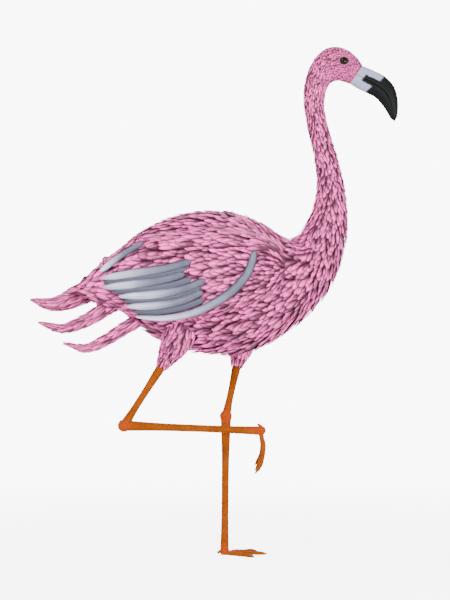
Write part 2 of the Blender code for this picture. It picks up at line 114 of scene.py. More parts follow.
def gridded(at, turn):
    """Stations and turns as two arrays of one shape."""
    return np.broadcast_arrays(np.asarray(at, float), np.asarray(turn, float))


def body(at, turn, under=0.0):
    """Body's surface at a station and a turn from the back towards the left side.

    A ring is an oval: its middle plus cos(turn) times half its height, and sin(turn) times half its width
    aside. The head's forms are added as bell curves, and under draws the whole ring in by the coat's depth.
    """
    at, turn = gridded(at, turn)
    row = through(STATIONS, at)
    middle, up = (row[..., 0:2] + row[..., 2:4]) / 2, (row[..., 0:2] - row[..., 2:4]) / 2
    rise = np.linalg.norm(up, axis=-1)
    folded = np.abs((turn + math.pi) % (2 * math.pi) - math.pi)
    out = -np.asarray(under, float) * np.ones_like(at)
    for station, round_at, reach, spread, stands in HEAD_FORMS:
        out = out + stands * np.exp(-(((at - station) / reach) ** 2) - ((folded - round_at) / spread) ** 2)
    up = up * ((1 + out / rise) * np.cos(turn))[..., None]
    aside = (row[..., 4] + out) * np.sin(turn)
    return np.stack([middle[..., 0] + up[..., 0] + BODY_FORWARD, aside, middle[..., 1] + up[..., 1]], axis=-1)


def mesh_piece(name, points, *faces):
    """Object at the origin from points and arrays of quads or triangles, turned outwards.

    The sum over its triangles of a dot b cross c is six times its volume. Where it is below 0 the faces turn.
    """
    points = np.asarray(points, float)
    volume = 0.0
    for array in faces:
        for second in range(1, array.shape[1] - 1):
            a, b, c = points[array[:, 0]], points[array[:, second]], points[array[:, second + 1]]
            volume += np.einsum("ij,ij->", a, np.cross(b, c))
    if volume < 0:
        faces = [array[:, ::-1] for array in faces]
    corners = np.concatenate([array.ravel() for array in faces])
    sizes = np.concatenate([np.full(len(array), array.shape[1]) for array in faces])
    mesh = bpy.data.meshes.new(name)
    mesh.vertices.add(len(points))
    mesh.vertices.foreach_set("co", points.astype(np.float32).ravel())
    mesh.loops.add(len(corners))
    mesh.loops.foreach_set("vertex_index", corners.astype(np.int32))
    mesh.polygons.add(len(sizes))
    mesh.polygons.foreach_set("loop_start", (np.cumsum(sizes) - sizes).astype(np.int32))
    mesh.update(calc_edges=True)
    mesh.shade_smooth()
    piece = bpy.data.objects.new(name, mesh)
    bpy.context.scene.collection.objects.link(piece)
    return piece


def attribute(piece, name, values):
    """Number kept at each point of the mesh, for the materials to read."""
    layer = piece.data.attributes.new(name, "FLOAT", "POINT")
    layer.data.foreach_set("value", np.asarray(values, np.float32).ravel())


def ring_quads(count, sides, joined=False):
    """Quads between rings of points that follow each other, and where joined from the last to the first."""
    row, col = np.meshgrid(np.arange(count if joined else count - 1), np.arange(sides), indexing="ij")
    here, there, beside = row * sides, (row + 1) % count * sides, (col + 1) % sides
    return np.stack([here + col, here + beside, there + beside, there + col], -1).reshape(-1, 4)


def end_fans(count, sides):
    """Triangles that close the first and last ring on the two middle points that follow all rings."""
    ring = np.arange(sides)
    beside = (ring + 1) % sides
    first = np.stack([beside, ring, np.full(sides, count * sides)], -1)
    last = np.stack([ring, beside, np.full(sides, sides + 1)], -1) + (count - 1) * sides
    return np.vstack([first, last])


def closed_tube(name, rings):
    """Closed form from rows of rings: quads between the rings and a fan on the middle of each end ring."""
    rings = np.asarray(rings, float)
    points = np.vstack([rings.reshape(-1, 3), rings[0].mean(0), rings[-1].mean(0)])
    return mesh_piece(name, points, ring_quads(*rings.shape[:2]), end_fans(*rings.shape[:2]))


def coat_depth(at):
    """How deep the feathers lie over the skin at a station: deepest on the breast, thinnest on the face."""
    depths = (0.006, 0.011, 0.011, 0.006, 0.004, 0.0028, 0.0018, 0.0012)
    return np.interp(at, (0, 3, 6, 9, 13, 16, 19, 20), depths)


def turns(sides):
    """Evenly spaced turns, once round."""
    return np.linspace(0, 2 * math.pi, sides, endpoint=False)


SKIN_RINGS, SKIN_TURNS = 90, 64
to_hindhead, to_face = np.linspace(0, HINDHEAD, SKIN_RINGS), np.linspace(HINDHEAD, FACE, SKIN_RINGS)
stations = np.concatenate([to_hindhead, to_face[1:]])[:, None]
flesh = [closed_tube("skin", body(stations, turns(SKIN_TURNS)[None, :], coat_depth(stations)))]

# Folded wings: place along the body, height of the middle, half the height and how thick the wing lies.
WING_STATIONS = (
    (0.108, 0.628, 0.012, 0.003),
    (0.082, 0.627, 0.048, 0.012),
    (0.040, 0.626, 0.076, 0.018),
    (-0.030, 0.621, 0.094, 0.020),
    (-0.110, 0.612, 0.100, 0.019),
    (-0.185, 0.606, 0.096, 0.017),
    (-0.250, 0.603, 0.072, 0.013),
    (-0.305, 0.592, 0.040, 0.009),
    (-0.348, 0.583, 0.010, 0.004),
)
WING_LEAVES_FLANK = -0.06
WING_FREE_SPREAD = 0.066
WING_FLESH = 0.45  # share of the wing's thickness that is under its feathers
WING_TIP = len(WING_STATIONS) - 1.0
TRUNK_ROWS = through(STATIONS, np.linspace(0, CROP, 240))


def flank(x, z):
    """Half the trunk's width at a place along the body and a height, 0 off the trunk.

    Each ring's plane is a line seen from the side. Where the point passes from one side of a line to the
    next one's other side, the ring between them gives the width, by the circle's rule on its height.
    """
    shape = x.shape
    back, belly = TRUNK_ROWS[:, 0:2], TRUNK_ROWS[:, 2:4]
    middle, up = (back + belly) / 2, (back - belly) / 2
    half = np.linalg.norm(up, axis=1)
    offset_x, offset_z = x.ravel()[:, None] - middle[:, 0], z.ravel()[:, None] - middle[:, 1]
    aside = (offset_x * up[:, 1] - offset_z * up[:, 0]) / half
    height = (offset_x * up[:, 0] + offset_z * up[:, 1]) / half**2
    crossed = (aside[:, :-1] >= 0) & (aside[:, 1:] < 0) & (np.abs(height[:, :-1]) < 1.2)
    row = np.argmax(crossed, axis=1)
    point = np.arange(len(row))
    share = aside[point, row] / np.where(crossed[point, row], aside[point, row] - aside[point, row + 1], 1.0)
    high = height[point, row] + share * (height[point, row + 1] - height[point, row])
    wide = TRUNK_ROWS[row, 4] + share * (TRUNK_ROWS[row + 1, 4] - TRUNK_ROWS[row, 4])
    width = wide * np.sqrt(np.clip(1 - high**2, 0, 1)) * crossed[point, row]
    return width.reshape(shape)


def eased(share):
    """Runs from 0 to 1 with level ends: 3 squares less 2 cubes."""
    share = np.clip(share, 0, 1)
    return share * share * (3 - 2 * share)


def wing_row(x):
    """The wing's numbers at a place along the body."""
    places = [-row[0] for row in WING_STATIONS]
    return through(WING_STATIONS, np.interp(-x, places, np.arange(len(places))))


def wing_face(x, z, thickness=1.0):
    """How far from the middle plane the wing's outer face lies: over the flank, then free behind it.

    Over that it stands by the wing's thickness there, times 1 less the fourth power of how far up or down
    its half height the point lies.
    """
    row = wing_row(x)
    share = np.clip(np.abs(z - row[..., 1]) / row[..., 2], 0, 1)
    behind = WING_LEAVES_FLANK - x
    free = WING_FREE_SPREAD * eased(behind / 0.14) * (1 - 0.4 * eased((behind - 0.12) / 0.18))
    return (flank(x, z) ** 4 + free**4) ** 0.25 + thickness * row[..., 3] * (1 - share**4)


def wing(at, turn, thickness=1.0):
    """Left wing's outer face: at runs from tip (0) to wrist (8), turn from the upper edge to the lower."""
    at, turn = gridded(at, turn)
    row = through(WING_STATIONS, WING_TIP - at)
    x, z = row[..., 0], row[..., 1] + row[..., 2] * np.cos(turn)
    return np.stack([x + BODY_FORWARD, wing_face(x, z, thickness), z], axis=-1)


def mirrored(points, side):
    """Points or normals of the left side, carried over to the right where side is -1."""
    return points * np.array([1.0, side, 1.0])


for side_name, side in SIDES.items():
    at = np.linspace(0.35, 6.7, 56)[:, None]
    round_wing = np.linspace(0.40, math.pi - 0.40, 14)[None, :]
    thick = through(WING_STATIONS, WING_TIP - at)[..., 3]
    outer = wing(at, round_wing, WING_FLESH)
    inner = outer[:, ::-1] - np.stack([0 * thick, 1.3 * thick, 0 * thick], axis=-1)
    bed = np.concatenate([outer, inner], axis=1)
    flesh.append(closed_tube(f"wing_bed_{side_name}", mirrored(bed, side)))

# Legs: points from the belly to the foot, y being the bird's left.
LEGS = {
    "left": {
        "thigh": ((0.018, 0.052, 0.520), (0.004, 0.047, 0.462), (-0.006, 0.040, 0.418)),
        "ankle": (-0.031, 0.026, 0.302),
        "pad": (-BODY_FORWARD, 0.0, 0.0052),
        "forward": (1.0, 0.0, 0.0),
        "up": (0.0, 0.0, 1.0),
        "outwards": 1,
        "spread": 1.0,
        "curl": 0.0,
    },
    "right": {
        "thigh": ((-0.116, -0.050, 0.520), (-0.142, -0.050, 0.462), (-0.167, -0.048, 0.418)),
        "ankle": (-0.252, -0.046, 0.286),
        "pad": (0.044, -0.034, 0.274),
        "forward": (0.28, 0.0, -0.96),
        "up": (0.96, 0.0, 0.28),
        "outwards": -1,
        "spread": 0.55,
        "curl": 0.35,
    },
}
THIGH_RADII = (0.042, 0.033, 0.0160)
THIGH_COAT = 0.005
SHIN_RADII = (0.0095, 0.0078, 0.0078, 0.0105)
TARSUS_RADII = (0.0105, 0.0078, 0.0070, 0.0070, 0.0085)
ANKLE_RADIUS = 0.0135
SCUTE = 0.0042  # the length of one horny plate on the front of a leg
SCUTE_STEP = 0.0005  # how far a plate's lower edge stands out over the next
TOES = {"inner": (0.076, -37.0), "middle": (0.088, 0.0), "outer": (0.083, 36.0)}
TOE_RADII = (0.0064, 0.0052, 0.0056, 0.0046, 0.0048, 0.0036)
TOE_SCUTE = 0.0030
TOE_RINGS = 110
HIND_TOE = 0.016
PAD_RADIUS = 0.0098
WEB_THICKNESS = 0.0016


def placed(point):
    """Place of a body point in the frame's axes."""
    return np.asarray(point, float) + (BODY_FORWARD, 0.0, 0.0)


def unit(vector):
    """Vectors scaled to length 1."""
    vector = np.asarray(vector, float)
    return vector / np.linalg.norm(vector, axis=-1, keepdims=True)


def directions(line, aside):
    """Unit vectors along a line, square to it towards aside, and square to both."""
    along = unit(np.gradient(line, axis=0))
    across = unit(aside - np.sum(along * aside, axis=-1, keepdims=True) * along)
    return along, across, np.cross(along, across)


def limb_rings(line, radii, aside, sides=20, plate=SCUTE, step=SCUTE_STEP, flat=1.0):
    """Rings round a line: radii across it, flat times that deep, and on the front plates like a stair.

    A plate's step rises from 0 to its full height over its length and drops at once to the next.
    """
    along, across, deep = directions(line, np.asarray(aside, float))
    run = np.concatenate([[0], np.cumsum(np.linalg.norm(np.diff(line, axis=0), axis=1))])
    turn = turns(sides)
    front = np.clip(-np.cos(turn) - 0.1, 0, 1) ** 0.5
    stair = (run / plate) % 1.0
    radius = radii[:, None] + step * (stair[:, None] - 0.5) * front[None, :]
    return (
        line[:, None, :]
        + (radius * np.sin(turn))[..., None] * across[:, None, :]
        + (radius * flat * np.cos(turn))[..., None] * deep[:, None, :]
    )


def profile(values, count):
    """So many numbers along the smooth curve through a few."""
    return graded(values, np.linspace(0, len(values) - 1, count))


def limb(name, start, end, radii, flat):
    """Bare lower leg from one joint to the next, its ends drawn in so that they hide in the knobs."""
    count = int(np.linalg.norm(np.subtract(end, start)) / SCUTE * 5)
    line = np.linspace(start, end, count)
    return closed_tube(name, limb_rings(line, profile(radii, count), (0, 1, 0), flat=flat))


def knob_rings(centre, radii, ripples=0.0):
    """Rounded joint: a ball stretched on each axis, with a few folds across it."""
    polar = np.linspace(0.08, math.pi - 0.08, 20)[:, None]
    turn = turns(28)[None, :]
    swell = 1 + ripples * np.cos(9 * polar)
    across = np.sin(polar)
    ball = np.stack([across * np.cos(turn), across * np.sin(turn), np.cos(polar) + 0 * turn], axis=-1)
    return np.asarray(centre) + ball * swell[..., None] * np.asarray(radii)


def grounded(rings, leg):
    """Rings of the foot that stands, pressed flat where they would reach below the floor."""
    if leg["curl"] == 0.0:
        rings[..., 2] = np.maximum(rings[..., 2], 0.0)
    return rings


def toe_line(leg, toe, count):
    """Points along a toe: it leaves the pad at its angle, bends to the sole by curl and sinks as it thins."""
    length, angle = TOES[toe]
    forward, up = unit(leg["forward"]), unit(leg["up"])
    side = leg["outwards"] * unit(np.cross(up, forward))
    lean = math.radians(angle * leg["spread"])
    heading = math.cos(lean) * forward + math.sin(lean) * side
    share = np.linspace(0, 1, count)[:, None]
    drop = leg["curl"] * share**1.6
    sink = profile(TOE_RADII, count)[:, None] - TOE_RADII[0]
    return placed(leg["pad"]) + length * share * (np.cos(drop) * heading - np.sin(drop) * up) + sink * up


def foot_forms(name, leg):
    """Pad, three scaly front toes, the short hind toe and the two webs of one foot."""
    up, pad = unit(leg["up"]), placed(leg["pad"])
    forms = [closed_tube(f"{name}_pad", grounded(knob_rings(pad + 0.002 * up, PAD_RADIUS), leg))]
    lines = {toe: toe_line(leg, toe, TOE_RINGS) for toe in TOES}
    for toe, line in lines.items():
        radii = profile(TOE_RADII, TOE_RINGS) * (1 + 0.05 * np.cos(np.linspace(0, 7 * math.pi, TOE_RINGS)))
        radii[-3:] *= (0.93, 0.75, 0.45)
        side = np.cross(up, line[-1] - line[0])
        rings = limb_rings(line, radii, side, sides=16, plate=TOE_SCUTE, step=-0.0004)
        forms.append(closed_tube(f"{name}_{toe}", grounded(rings, leg)))
    hind_tip = pad - HIND_TOE * unit(leg["forward"]) - 0.0014 * up
    hind = np.linspace(pad + 0.008 * up, hind_tip, 24)
    radii = profile((0.0046, 0.0037, 0.0026), 24)
    radii[-2:] *= (0.8, 0.5)
    rings = limb_rings(hind, radii, np.cross(up, hind_tip - pad), sides=12, step=0.0)
    forms.append(closed_tube(f"{name}_hind", grounded(rings, leg)))
    for first, second in (("inner", "middle"), ("middle", "outer")):
        share = np.linspace(0.02, 0.98, 26)[:, None]
        reach = 0.95 - 0.19 * np.sin(math.pi * share)
        at = reach * np.linspace(0.05, 1.0, 22)[None, :] * (TOE_RINGS - 1)
        inner, outer = through(lines[first], at), through(lines[second], at)
        folds = 0.0004 * np.sin(5 * math.pi * share) * np.linspace(0, 1, 22)[None, :]
        middle = (1 - share[..., None]) * inner + share[..., None] * outer + (folds - 0.0006)[..., None] * up
        half = up * WEB_THICKNESS / 2
        thin = np.concatenate([middle + half, (middle - half)[:, ::-1]], axis=1)
        forms.append(closed_tube(f"{name}_web_{first}", grounded(thin, leg)))
    return forms


def thigh(leg, at, turn, under=0.0):
    """Feathered thigh, round rings on its line: at runs from its end over the shin (0) into the belly (2)."""
    at, turn = gridded(at, turn)
    line = placed(through(leg["thigh"], 2 - at))
    radius = graded(THIGH_RADII, 2 - at) - under
    along = unit(np.asarray(leg["thigh"][0]) - np.asarray(leg["thigh"][2]))
    front = unit(np.array([1.0, 0.0, 0.0]) - along[0] * along)
    right = np.cross(front, along)
    return line + (radius * np.cos(turn))[..., None] * front + (radius * np.sin(turn))[..., None] * right


for side_name, leg in LEGS.items():
    at = np.linspace(0.0, 2.0, 24)[:, None]
    flesh.append(closed_tube(f"thigh_skin_{side_name}", thigh(leg, at, turns(32)[None, :], THIGH_COAT)))
    ankle, pad = placed(leg["ankle"]), placed(leg["pad"])
    inside_thigh = placed(through(leg["thigh"], 1.6))
    flesh.append(limb(f"shin_skin_{side_name}", inside_thigh, ankle, (0.0100, *SHIN_RADII), 1.0))
    flesh.append(limb(f"tarsus_skin_{side_name}", ankle, pad, TARSUS_RADII, 1.12))
    round_ankle = knob_rings(ankle, (ANKLE_RADIUS, ANKLE_RADIUS * 0.85, ANKLE_RADIUS), 0.02)
    flesh.append(closed_tube(f"ankle_skin_{side_name}", round_ankle))
    flesh.extend(foot_forms(f"foot_skin_{side_name}", leg))


EYE_SWELL = 1.16  # the wet ball against the frame's, which ends where the lids begin


def eye_place(side_name):
    """Centre and radius of the eyeball: the frame's, swollen inwards so that its front stays where it is."""
    low, high = (np.array(corner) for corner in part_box(f"eye_{side_name}"))
    centre, radius = (low + high) / 2, (high[0] - low[0]) / 2
    inwards = np.array([0.0, -np.sign(centre[1]), 0.0])
    return centre + (EYE_SWELL - 1) * radius * inwards, EYE_SWELL * radius


# The lids' section: how far outside the opening each point lies and how far it stands off the eyeball. It
# runs from the lid's edge over its crest, a groove and a softer fold, then down into the head and back.
LID_SECTION = (
    (0.0000, 0.0001), (0.0002, 0.0008), (0.0008, 0.0012), (0.0015, 0.0007),
    (0.0020, -0.0001), (0.0026, -0.0002), (0.0033, -0.0010), (0.0043, -0.0026),
    (0.0056, -0.0052), (0.0058, -0.0080), (0.0030, -0.0090), (0.0003, -0.0040),
)
CREASES = 29  # fine creases that run outwards across the lids
LID_TURNS, LID_POINTS = 116, 36


def lid_rings(centre, radius, side):
    """Lids round the eye: the section's points at every turn, outside an oval that is longer fore and aft."""
    turn = turns(LID_TURNS)[:, None]
    along = np.linspace(0, len(LID_SECTION), LID_POINTS, endpoint=False)
    reach, height = through(LID_SECTION + LID_SECTION[:1], along).T
    open_x, open_z = 0.82 * radius, 0.72 * radius
    corner = 1 + 0.10 * np.abs(np.cos(turn)) ** 6
    out_x = (open_x * corner + reach) * np.cos(turn)
    out_z = (open_z + reach * (1 + 0.15 * np.sin(turn))) * np.sin(turn)
    seat = np.sqrt(np.clip(radius**2 - (open_x * np.cos(turn)) ** 2 - (open_z * np.sin(turn)) ** 2, 0, None))
    creased = 0.00012 * np.abs(np.sin(turn * CREASES / 2)) * np.clip(reach / 0.001, 0, 1)
    out_y = seat + height - creased
    return centre + np.stack([out_x, side * out_y, out_z], axis=-1)


def hoop(name, rings):
    """Closed ring from rows of rings whose last row joins the first."""
    return mesh_piece(name, rings.reshape(-1, 3), ring_quads(*rings.shape[:2], joined=True))


for side_name, side in SIDES.items():
    flesh.append(hoop(f"lids_{side_name}", lid_rings(*eye_place(side_name), side)))


def grown_together(forms):
    """Exact union of overlapping closed forms, kept in the first one's object."""
    first, others = forms[0], forms[1:]
    group = bpy.data.collections.new("flesh")
    bpy.context.scene.collection.children.link(group)
    for other in others:
        group.objects.link(other)
    step = first.modifiers.new("grown_together", "BOOLEAN")
    step.operation = "UNION"
    step.operand_type = "COLLECTION"
    step.collection = group
    step.solver = "EXACT"
    bpy.context.view_layer.update()
    graph = bpy.context.evaluated_depsgraph_get()
    mesh = bpy.data.meshes.new_from_object(first.evaluated_get(graph))
    first.modifiers.remove(step)
    first.data = mesh
    mesh.name = first.name
    mesh.shade_smooth()
    mesh.set_sharp_from_angle(angle=math.radians(50))
    for other in others:
        bpy.data.objects.remove(other)
    bpy.data.collections.remove(group)
    return first


class Value:
    """Output socket of a node, on which arithmetic adds Math nodes to its material."""

    def __init__(self, finish, socket):
        self.finish, self.socket = finish, socket

    def __add__(self, other):
        return self.finish.maths("ADD", self, other)

    def __sub__(self, other):
        return self.finish.maths("SUBTRACT", self, other)

    def __rsub__(self, other):
        return self.finish.maths("SUBTRACT", other, self)

    def __mul__(self, other):
        return self.finish.maths("MULTIPLY", self, other)

    def __pow__(self, other):
        return self.finish.maths("POWER", self, other)

    __radd__, __rmul__ = __add__, __mul__


class Finish:
    """Material whose surface is one Principled shader, with the nodes that drive it."""

    def __init__(self, name, roughness, **constants):
        self.material = bpy.data.materials.new(name)
        self.material.use_nodes = True
        self.nodes, self.links = self.material.node_tree.nodes, self.material.node_tree.links
        self.shader = self.nodes["Principled BSDF"]
        self.shader.inputs["Roughness"].default_value = roughness
        for socket, value in constants.items():
            self.shader.inputs[socket.replace("_", " ")].default_value = value

    def node(self, kind, settings=None, output=0, **values):
        """Adds a node: its settings first, then a number, colour or Value for each socket."""
        made = self.nodes.new("ShaderNode" + kind)
        for setting, value in (settings or {}).items():
            if setting == "stops":
                ramp = made.color_ramp.elements
                for place, colour in value[len(ramp) :]:
                    ramp.new(place)
                for stop, (place, colour) in zip(ramp, value):
                    stop.position, stop.color = place, colour
            else:
                setattr(made, setting, value)
        for socket, value in values.items():
            self.feed(made.inputs[int(socket[1:]) if socket[0] == "_" else socket.replace("_", " ")], value)
        return Value(self, made.outputs[output])

    def feed(self, socket, value):
        """Links a Value to a socket, or sets the socket to a constant."""
        if isinstance(value, Value):
            self.links.new(value.socket, socket)
        else:
            socket.default_value = value

    def maths(self, operation, *values):
        """Math node on numbers or Values."""
        named = {f"_{number}": value for number, value in enumerate(values)}
        return self.node("Math", {"operation": operation}, **named)

    def clamped(self, value):
        """Value kept between 0 and 1."""
        return self.node("Clamp", Value=value)

    def step(self, value, low, high):
        """Runs smoothly from 0 at low to 1 at high."""
        settings = {"interpolation_type": "SMOOTHSTEP"}
        return self.node("MapRange", settings, Value=value, From_Min=low, From_Max=high)

    def mix(self, share, first, second):
        """Colour that turns from the first to the second by a share."""
        return self.node("Mix", {"data_type": "RGBA"}, 2, _0=share, _6=first, _7=second)

    def blend(self, share, first, second):
        """Mix Shader node between two shaders."""
        return self.node("MixShader", None, 0, _0=share, _1=first, _2=second)

    def kept(self, name):
        """Number kept at the mesh's points."""
        return self.node("Attribute", {"attribute_name": name}, "Fac")

    def place(self):
        """Place on the piece, in metres."""
        return self.node("TexCoord", output="Object")

    def noise(self, scale, detail=3.0):
        """Cloudy noise, so many lumps to the metre."""
        return self.node("TexNoise", Vector=self.place(), Scale=scale, Detail=detail)

    def drive(self, **values):
        """Links what changes over the surface to the shader."""
        for socket, value in values.items():
            self.links.new(value.socket, self.shader.inputs[socket.replace("_", " ")])

    def relief(self, height, distance, strength=1.0):
        """Fine bumps, so many metres high."""
        self.drive(Normal=self.node("Bump", Height=height, Distance=distance, Strength=strength))


def skin_finish():
    """Pink under the feathers, orange and scaly below the thighs, redder at the joints."""
    finish = Finish("skin", 0.55, Specular_IOR_Level=0.05)
    place = finish.place()
    height = finish.node("SeparateXYZ", output="Z", Vector=place)
    bare = 1 - finish.step(height, 0.412, 0.424)
    scales = finish.node("TexVoronoi", {"feature": "DISTANCE_TO_EDGE"}, "Distance", Vector=place, Scale=420.0)
    groove = 1 - finish.step(scales, 0.02, 0.16)
    mottle = finish.noise(45.0)
    fine = finish.noise(320.0)
    orange = finish.mix(mottle, (0.09, 0.018, 0.0, 1), (0.27, 0.055, 0.0, 1))
    joint = 0.0
    for leg in LEGS.values():
        for centre, reach in ((leg["ankle"], 0.030), (leg["pad"], 0.034)):
            centre = tuple(placed(centre))
            away = finish.node("VectorMath", {"operation": "DISTANCE"}, "Value", _0=place, _1=centre)
            joint = joint + (1 - finish.step(away, 0.3 * reach, reach))
    orange = finish.mix(finish.clamped(joint) * 0.55, orange, (0.34, 0.036, 0.002, 1))
    orange = finish.mix(groove * 0.55, orange, (0.08, 0.013, 0.001, 1))
    pink = finish.mix(mottle, (0.20, 0.038, 0.095, 1), (0.35, 0.072, 0.175, 1))
    finish.drive(Base_Color=finish.mix(bare, pink, orange), Roughness=0.42 + groove * 0.25 + fine * 0.12)
    finish.relief(finish.step(scales, 0.0, 0.18) * bare + fine * 0.25, 0.0004)
    return finish.material


skin = grown_together(flesh)
skin.data.materials.clear()
skin.data.materials.append(skin_finish())
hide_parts("trunk", "neck_lower", "neck_middle", "neck_upper", "head")
for side_name in LEGS:
    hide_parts(*(f"{part}_{side_name}" for part in ("thigh", "shin", "tarsus", "foot")))
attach(skin, "root")

# ---------------------------------------------------------------- eyes
# Dark, wet balls that sit in their sockets behind the lids. The iris is nearly as black as the pupil and
# the cornea stands out a little.


def eye_finish():
    """Black pupil in a nearly black iris of fine fibres, wet all over."""
    finish = Finish("eye", 0.03, Specular_IOR_Level=0.11)
    off_axis = finish.kept("off_axis")
    fibres = finish.noise(900.0, 4.0)
    iris = finish.mix(fibres, (0.006, 0.004, 0.003, 1), (0.016, 0.010, 0.006, 1))
    colour = finish.mix(finish.step(off_axis, 0.50, 0.56), (0.0015, 0.0015, 0.0018, 1), iris)
    finish.drive(Base_Color=finish.mix(finish.step(off_axis, 0.86, 0.95), colour, (0.006, 0.005, 0.005, 1)))
    return finish.material


EYE_TURNS = 48
eye_material = eye_finish()
for side_name, side in SIDES.items():
    centre, radius = eye_place(side_name)
    polar = np.concatenate([np.linspace(0.02, 1.2, 34), np.linspace(1.2, math.pi - 0.05, 18)[1:]])[:, None]
    turn = turns(EYE_TURNS)[None, :]
    swell = 1 + 0.035 * np.exp(-((polar / 0.62) ** 4))
    across = np.sin(polar)
    ball = np.stack([across * np.cos(turn), side * np.cos(polar) + 0 * turn, across * np.sin(turn)], -1)
    eye = closed_tube(f"eyeball_{side_name}", centre + radius * swell[..., None] * ball)
    attribute(eye, "off_axis", np.append(np.repeat(polar[:, 0], EYE_TURNS), (0.0, math.pi)))
    eye.data.materials.append(eye_material)
    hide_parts(f"eye_{side_name}")
    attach(eye, "root")

# ---------------------------------------------------------------- bill
# Two horn mandibles, bent down in the middle: grey at the base, black from the bend on and along the mouth.
# Each outline is the upper ridge, the mouth's edge or the lower keel as (x, z).

CULMEN = (
    (0.2705, 1.0695), (0.2930, 1.0600), (0.3165, 1.0475), (0.3360, 1.0270),
    (0.3450, 1.0000), (0.3465, 0.9730), (0.3420, 0.9480),
)
MOUTH = (
    (0.2560, 1.0500), (0.2760, 1.0385), (0.2975, 1.0270), (0.3170, 1.0120),
    (0.3285, 0.9910), (0.3350, 0.9690), (0.3380, 0.9480),
)
KEEL = (
    (0.2420, 1.0310), (0.2590, 1.0205), (0.2780, 1.0115), (0.2975, 1.0005),
    (0.3115, 0.9845), (0.3230, 0.9655), (0.3320, 0.9465),
)
BILL_HALF_WIDTHS = (0.0172, 0.0166, 0.0158, 0.0146, 0.0124, 0.0092, 0.0046)
MOUTH_GAP = 0.0004
BILL_TIP = len(MOUTH) - 1.0
BILL_ROOT = 0.006  # how far the horn runs on into the face
BILL_ROWS, BOW_POINTS, FLOOR_POINTS = 150, 49, 12


def mandible(name, far_outline, widen):
    """Half of the bill: bows from the mouth's edge over the far outline and back, closed by a flat floor.

    A bow's point is the edge plus sin(arc)^0.85 of the rise to the far outline and cos(arc) of the width.
    """
    upper = far_outline is CULMEN
    end = BILL_TIP if upper else BILL_TIP - 0.12
    at = np.linspace(0, end, BILL_ROWS)
    edge = through(MOUTH, at)
    rise = through(far_outline, at) - edge
    edge, rise = (np.stack([flat[:, 0], 0 * at, flat[:, 1]], axis=-1) for flat in (edge, rise))
    taper = np.sqrt(np.clip((end - at) / 0.40, 0.01, 1))
    width = widen * taper * graded(BILL_HALF_WIDTHS, at)
    gap = MOUTH_GAP * np.clip((3.9 - at) / 0.5, -2.5, 1)
    base = placed(edge) + unit(rise) * gap[:, None]
    rise = rise * taper[:, None]
    arc = np.linspace(0, math.pi, BOW_POINTS)[None, :]
    height, aside = np.sin(arc) ** 0.85, np.cos(arc)
    out = np.zeros((len(at), BOW_POINTS))
    if upper:  # nostril slit with its raised rim, the long groove below it, the lip and the nail's swelling
        slit = np.exp(-(((at[:, None] - 1.15) / 0.42) ** 4) - ((height - 0.62) / 0.045) ** 2)
        rim = np.exp(-(((at[:, None] - 1.15) / 0.52) ** 4) - ((height - 0.62) / 0.12) ** 2)
        groove = np.exp(-(((at[:, None] - 2.2) / 2.3) ** 6) - ((height - 0.42) / 0.05) ** 2)
        lip = np.exp(-(((height - 0.10) / 0.09) ** 2))
        nail = np.exp(-(((at[:, None] - 5.5) / 0.55) ** 2)) * np.sin(arc)
        out += 0.0003 * rim - 0.0017 * slit - 0.0005 * groove + 0.0004 * lip + 0.0006 * nail
    else:
        groove = np.exp(-(((at[:, None] - 2.2) / 2.6) ** 6) - ((height - 0.55) / 0.05) ** 2)
        comb = np.exp(-(((height - 0.05) / 0.07) ** 2)) * (0.5 + 0.5 * np.cos(at[:, None] * 2 * math.pi * 16))
        out += -0.0004 * groove + 0.00035 * comb * (at[:, None] < 4.6)
    out *= np.clip((BILL_TIP - at[:, None]) / 0.6, 0, 1)
    middle = base[:, None, :] + 0.35 * rise[:, None, :]
    bow = base[:, None, :] + rise[:, None, :] * height[..., None]
    bow = bow + np.array([0.0, 1.0, 0.0]) * (width[:, None] * aside)[..., None]
    bow = bow + unit(bow - middle) * out[..., None]
    floor_shares = np.linspace(0, 1, FLOOR_POINTS + 2)[None, 1:-1, None]
    floor = bow[:, -1:, :] + (bow[:, :1, :] - bow[:, -1:, :]) * floor_shares
    rings = np.concatenate([bow, floor], axis=1)
    sides = rings.shape[1]
    lifted = np.broadcast_to(height, (len(at), BOW_POINTS))
    lifted = np.concatenate([lifted, np.zeros((len(at), FLOOR_POINTS))], axis=1)
    into_face = -unit(rings[4].mean(0) - rings[0].mean(0)) * BILL_ROOT
    root = rings[0].mean(0) + 0.86 * (rings[0] - rings[0].mean(0)) + into_face
    piece = closed_tube(name, np.concatenate([root[None], rings]))
    attribute(piece, "lifted", np.concatenate([lifted[0], lifted.ravel(), (0.5, 0.5)]))
    attribute(piece, "along", np.concatenate([np.zeros(sides), np.repeat(at, sides), (0.0, BILL_TIP)]))
    return piece


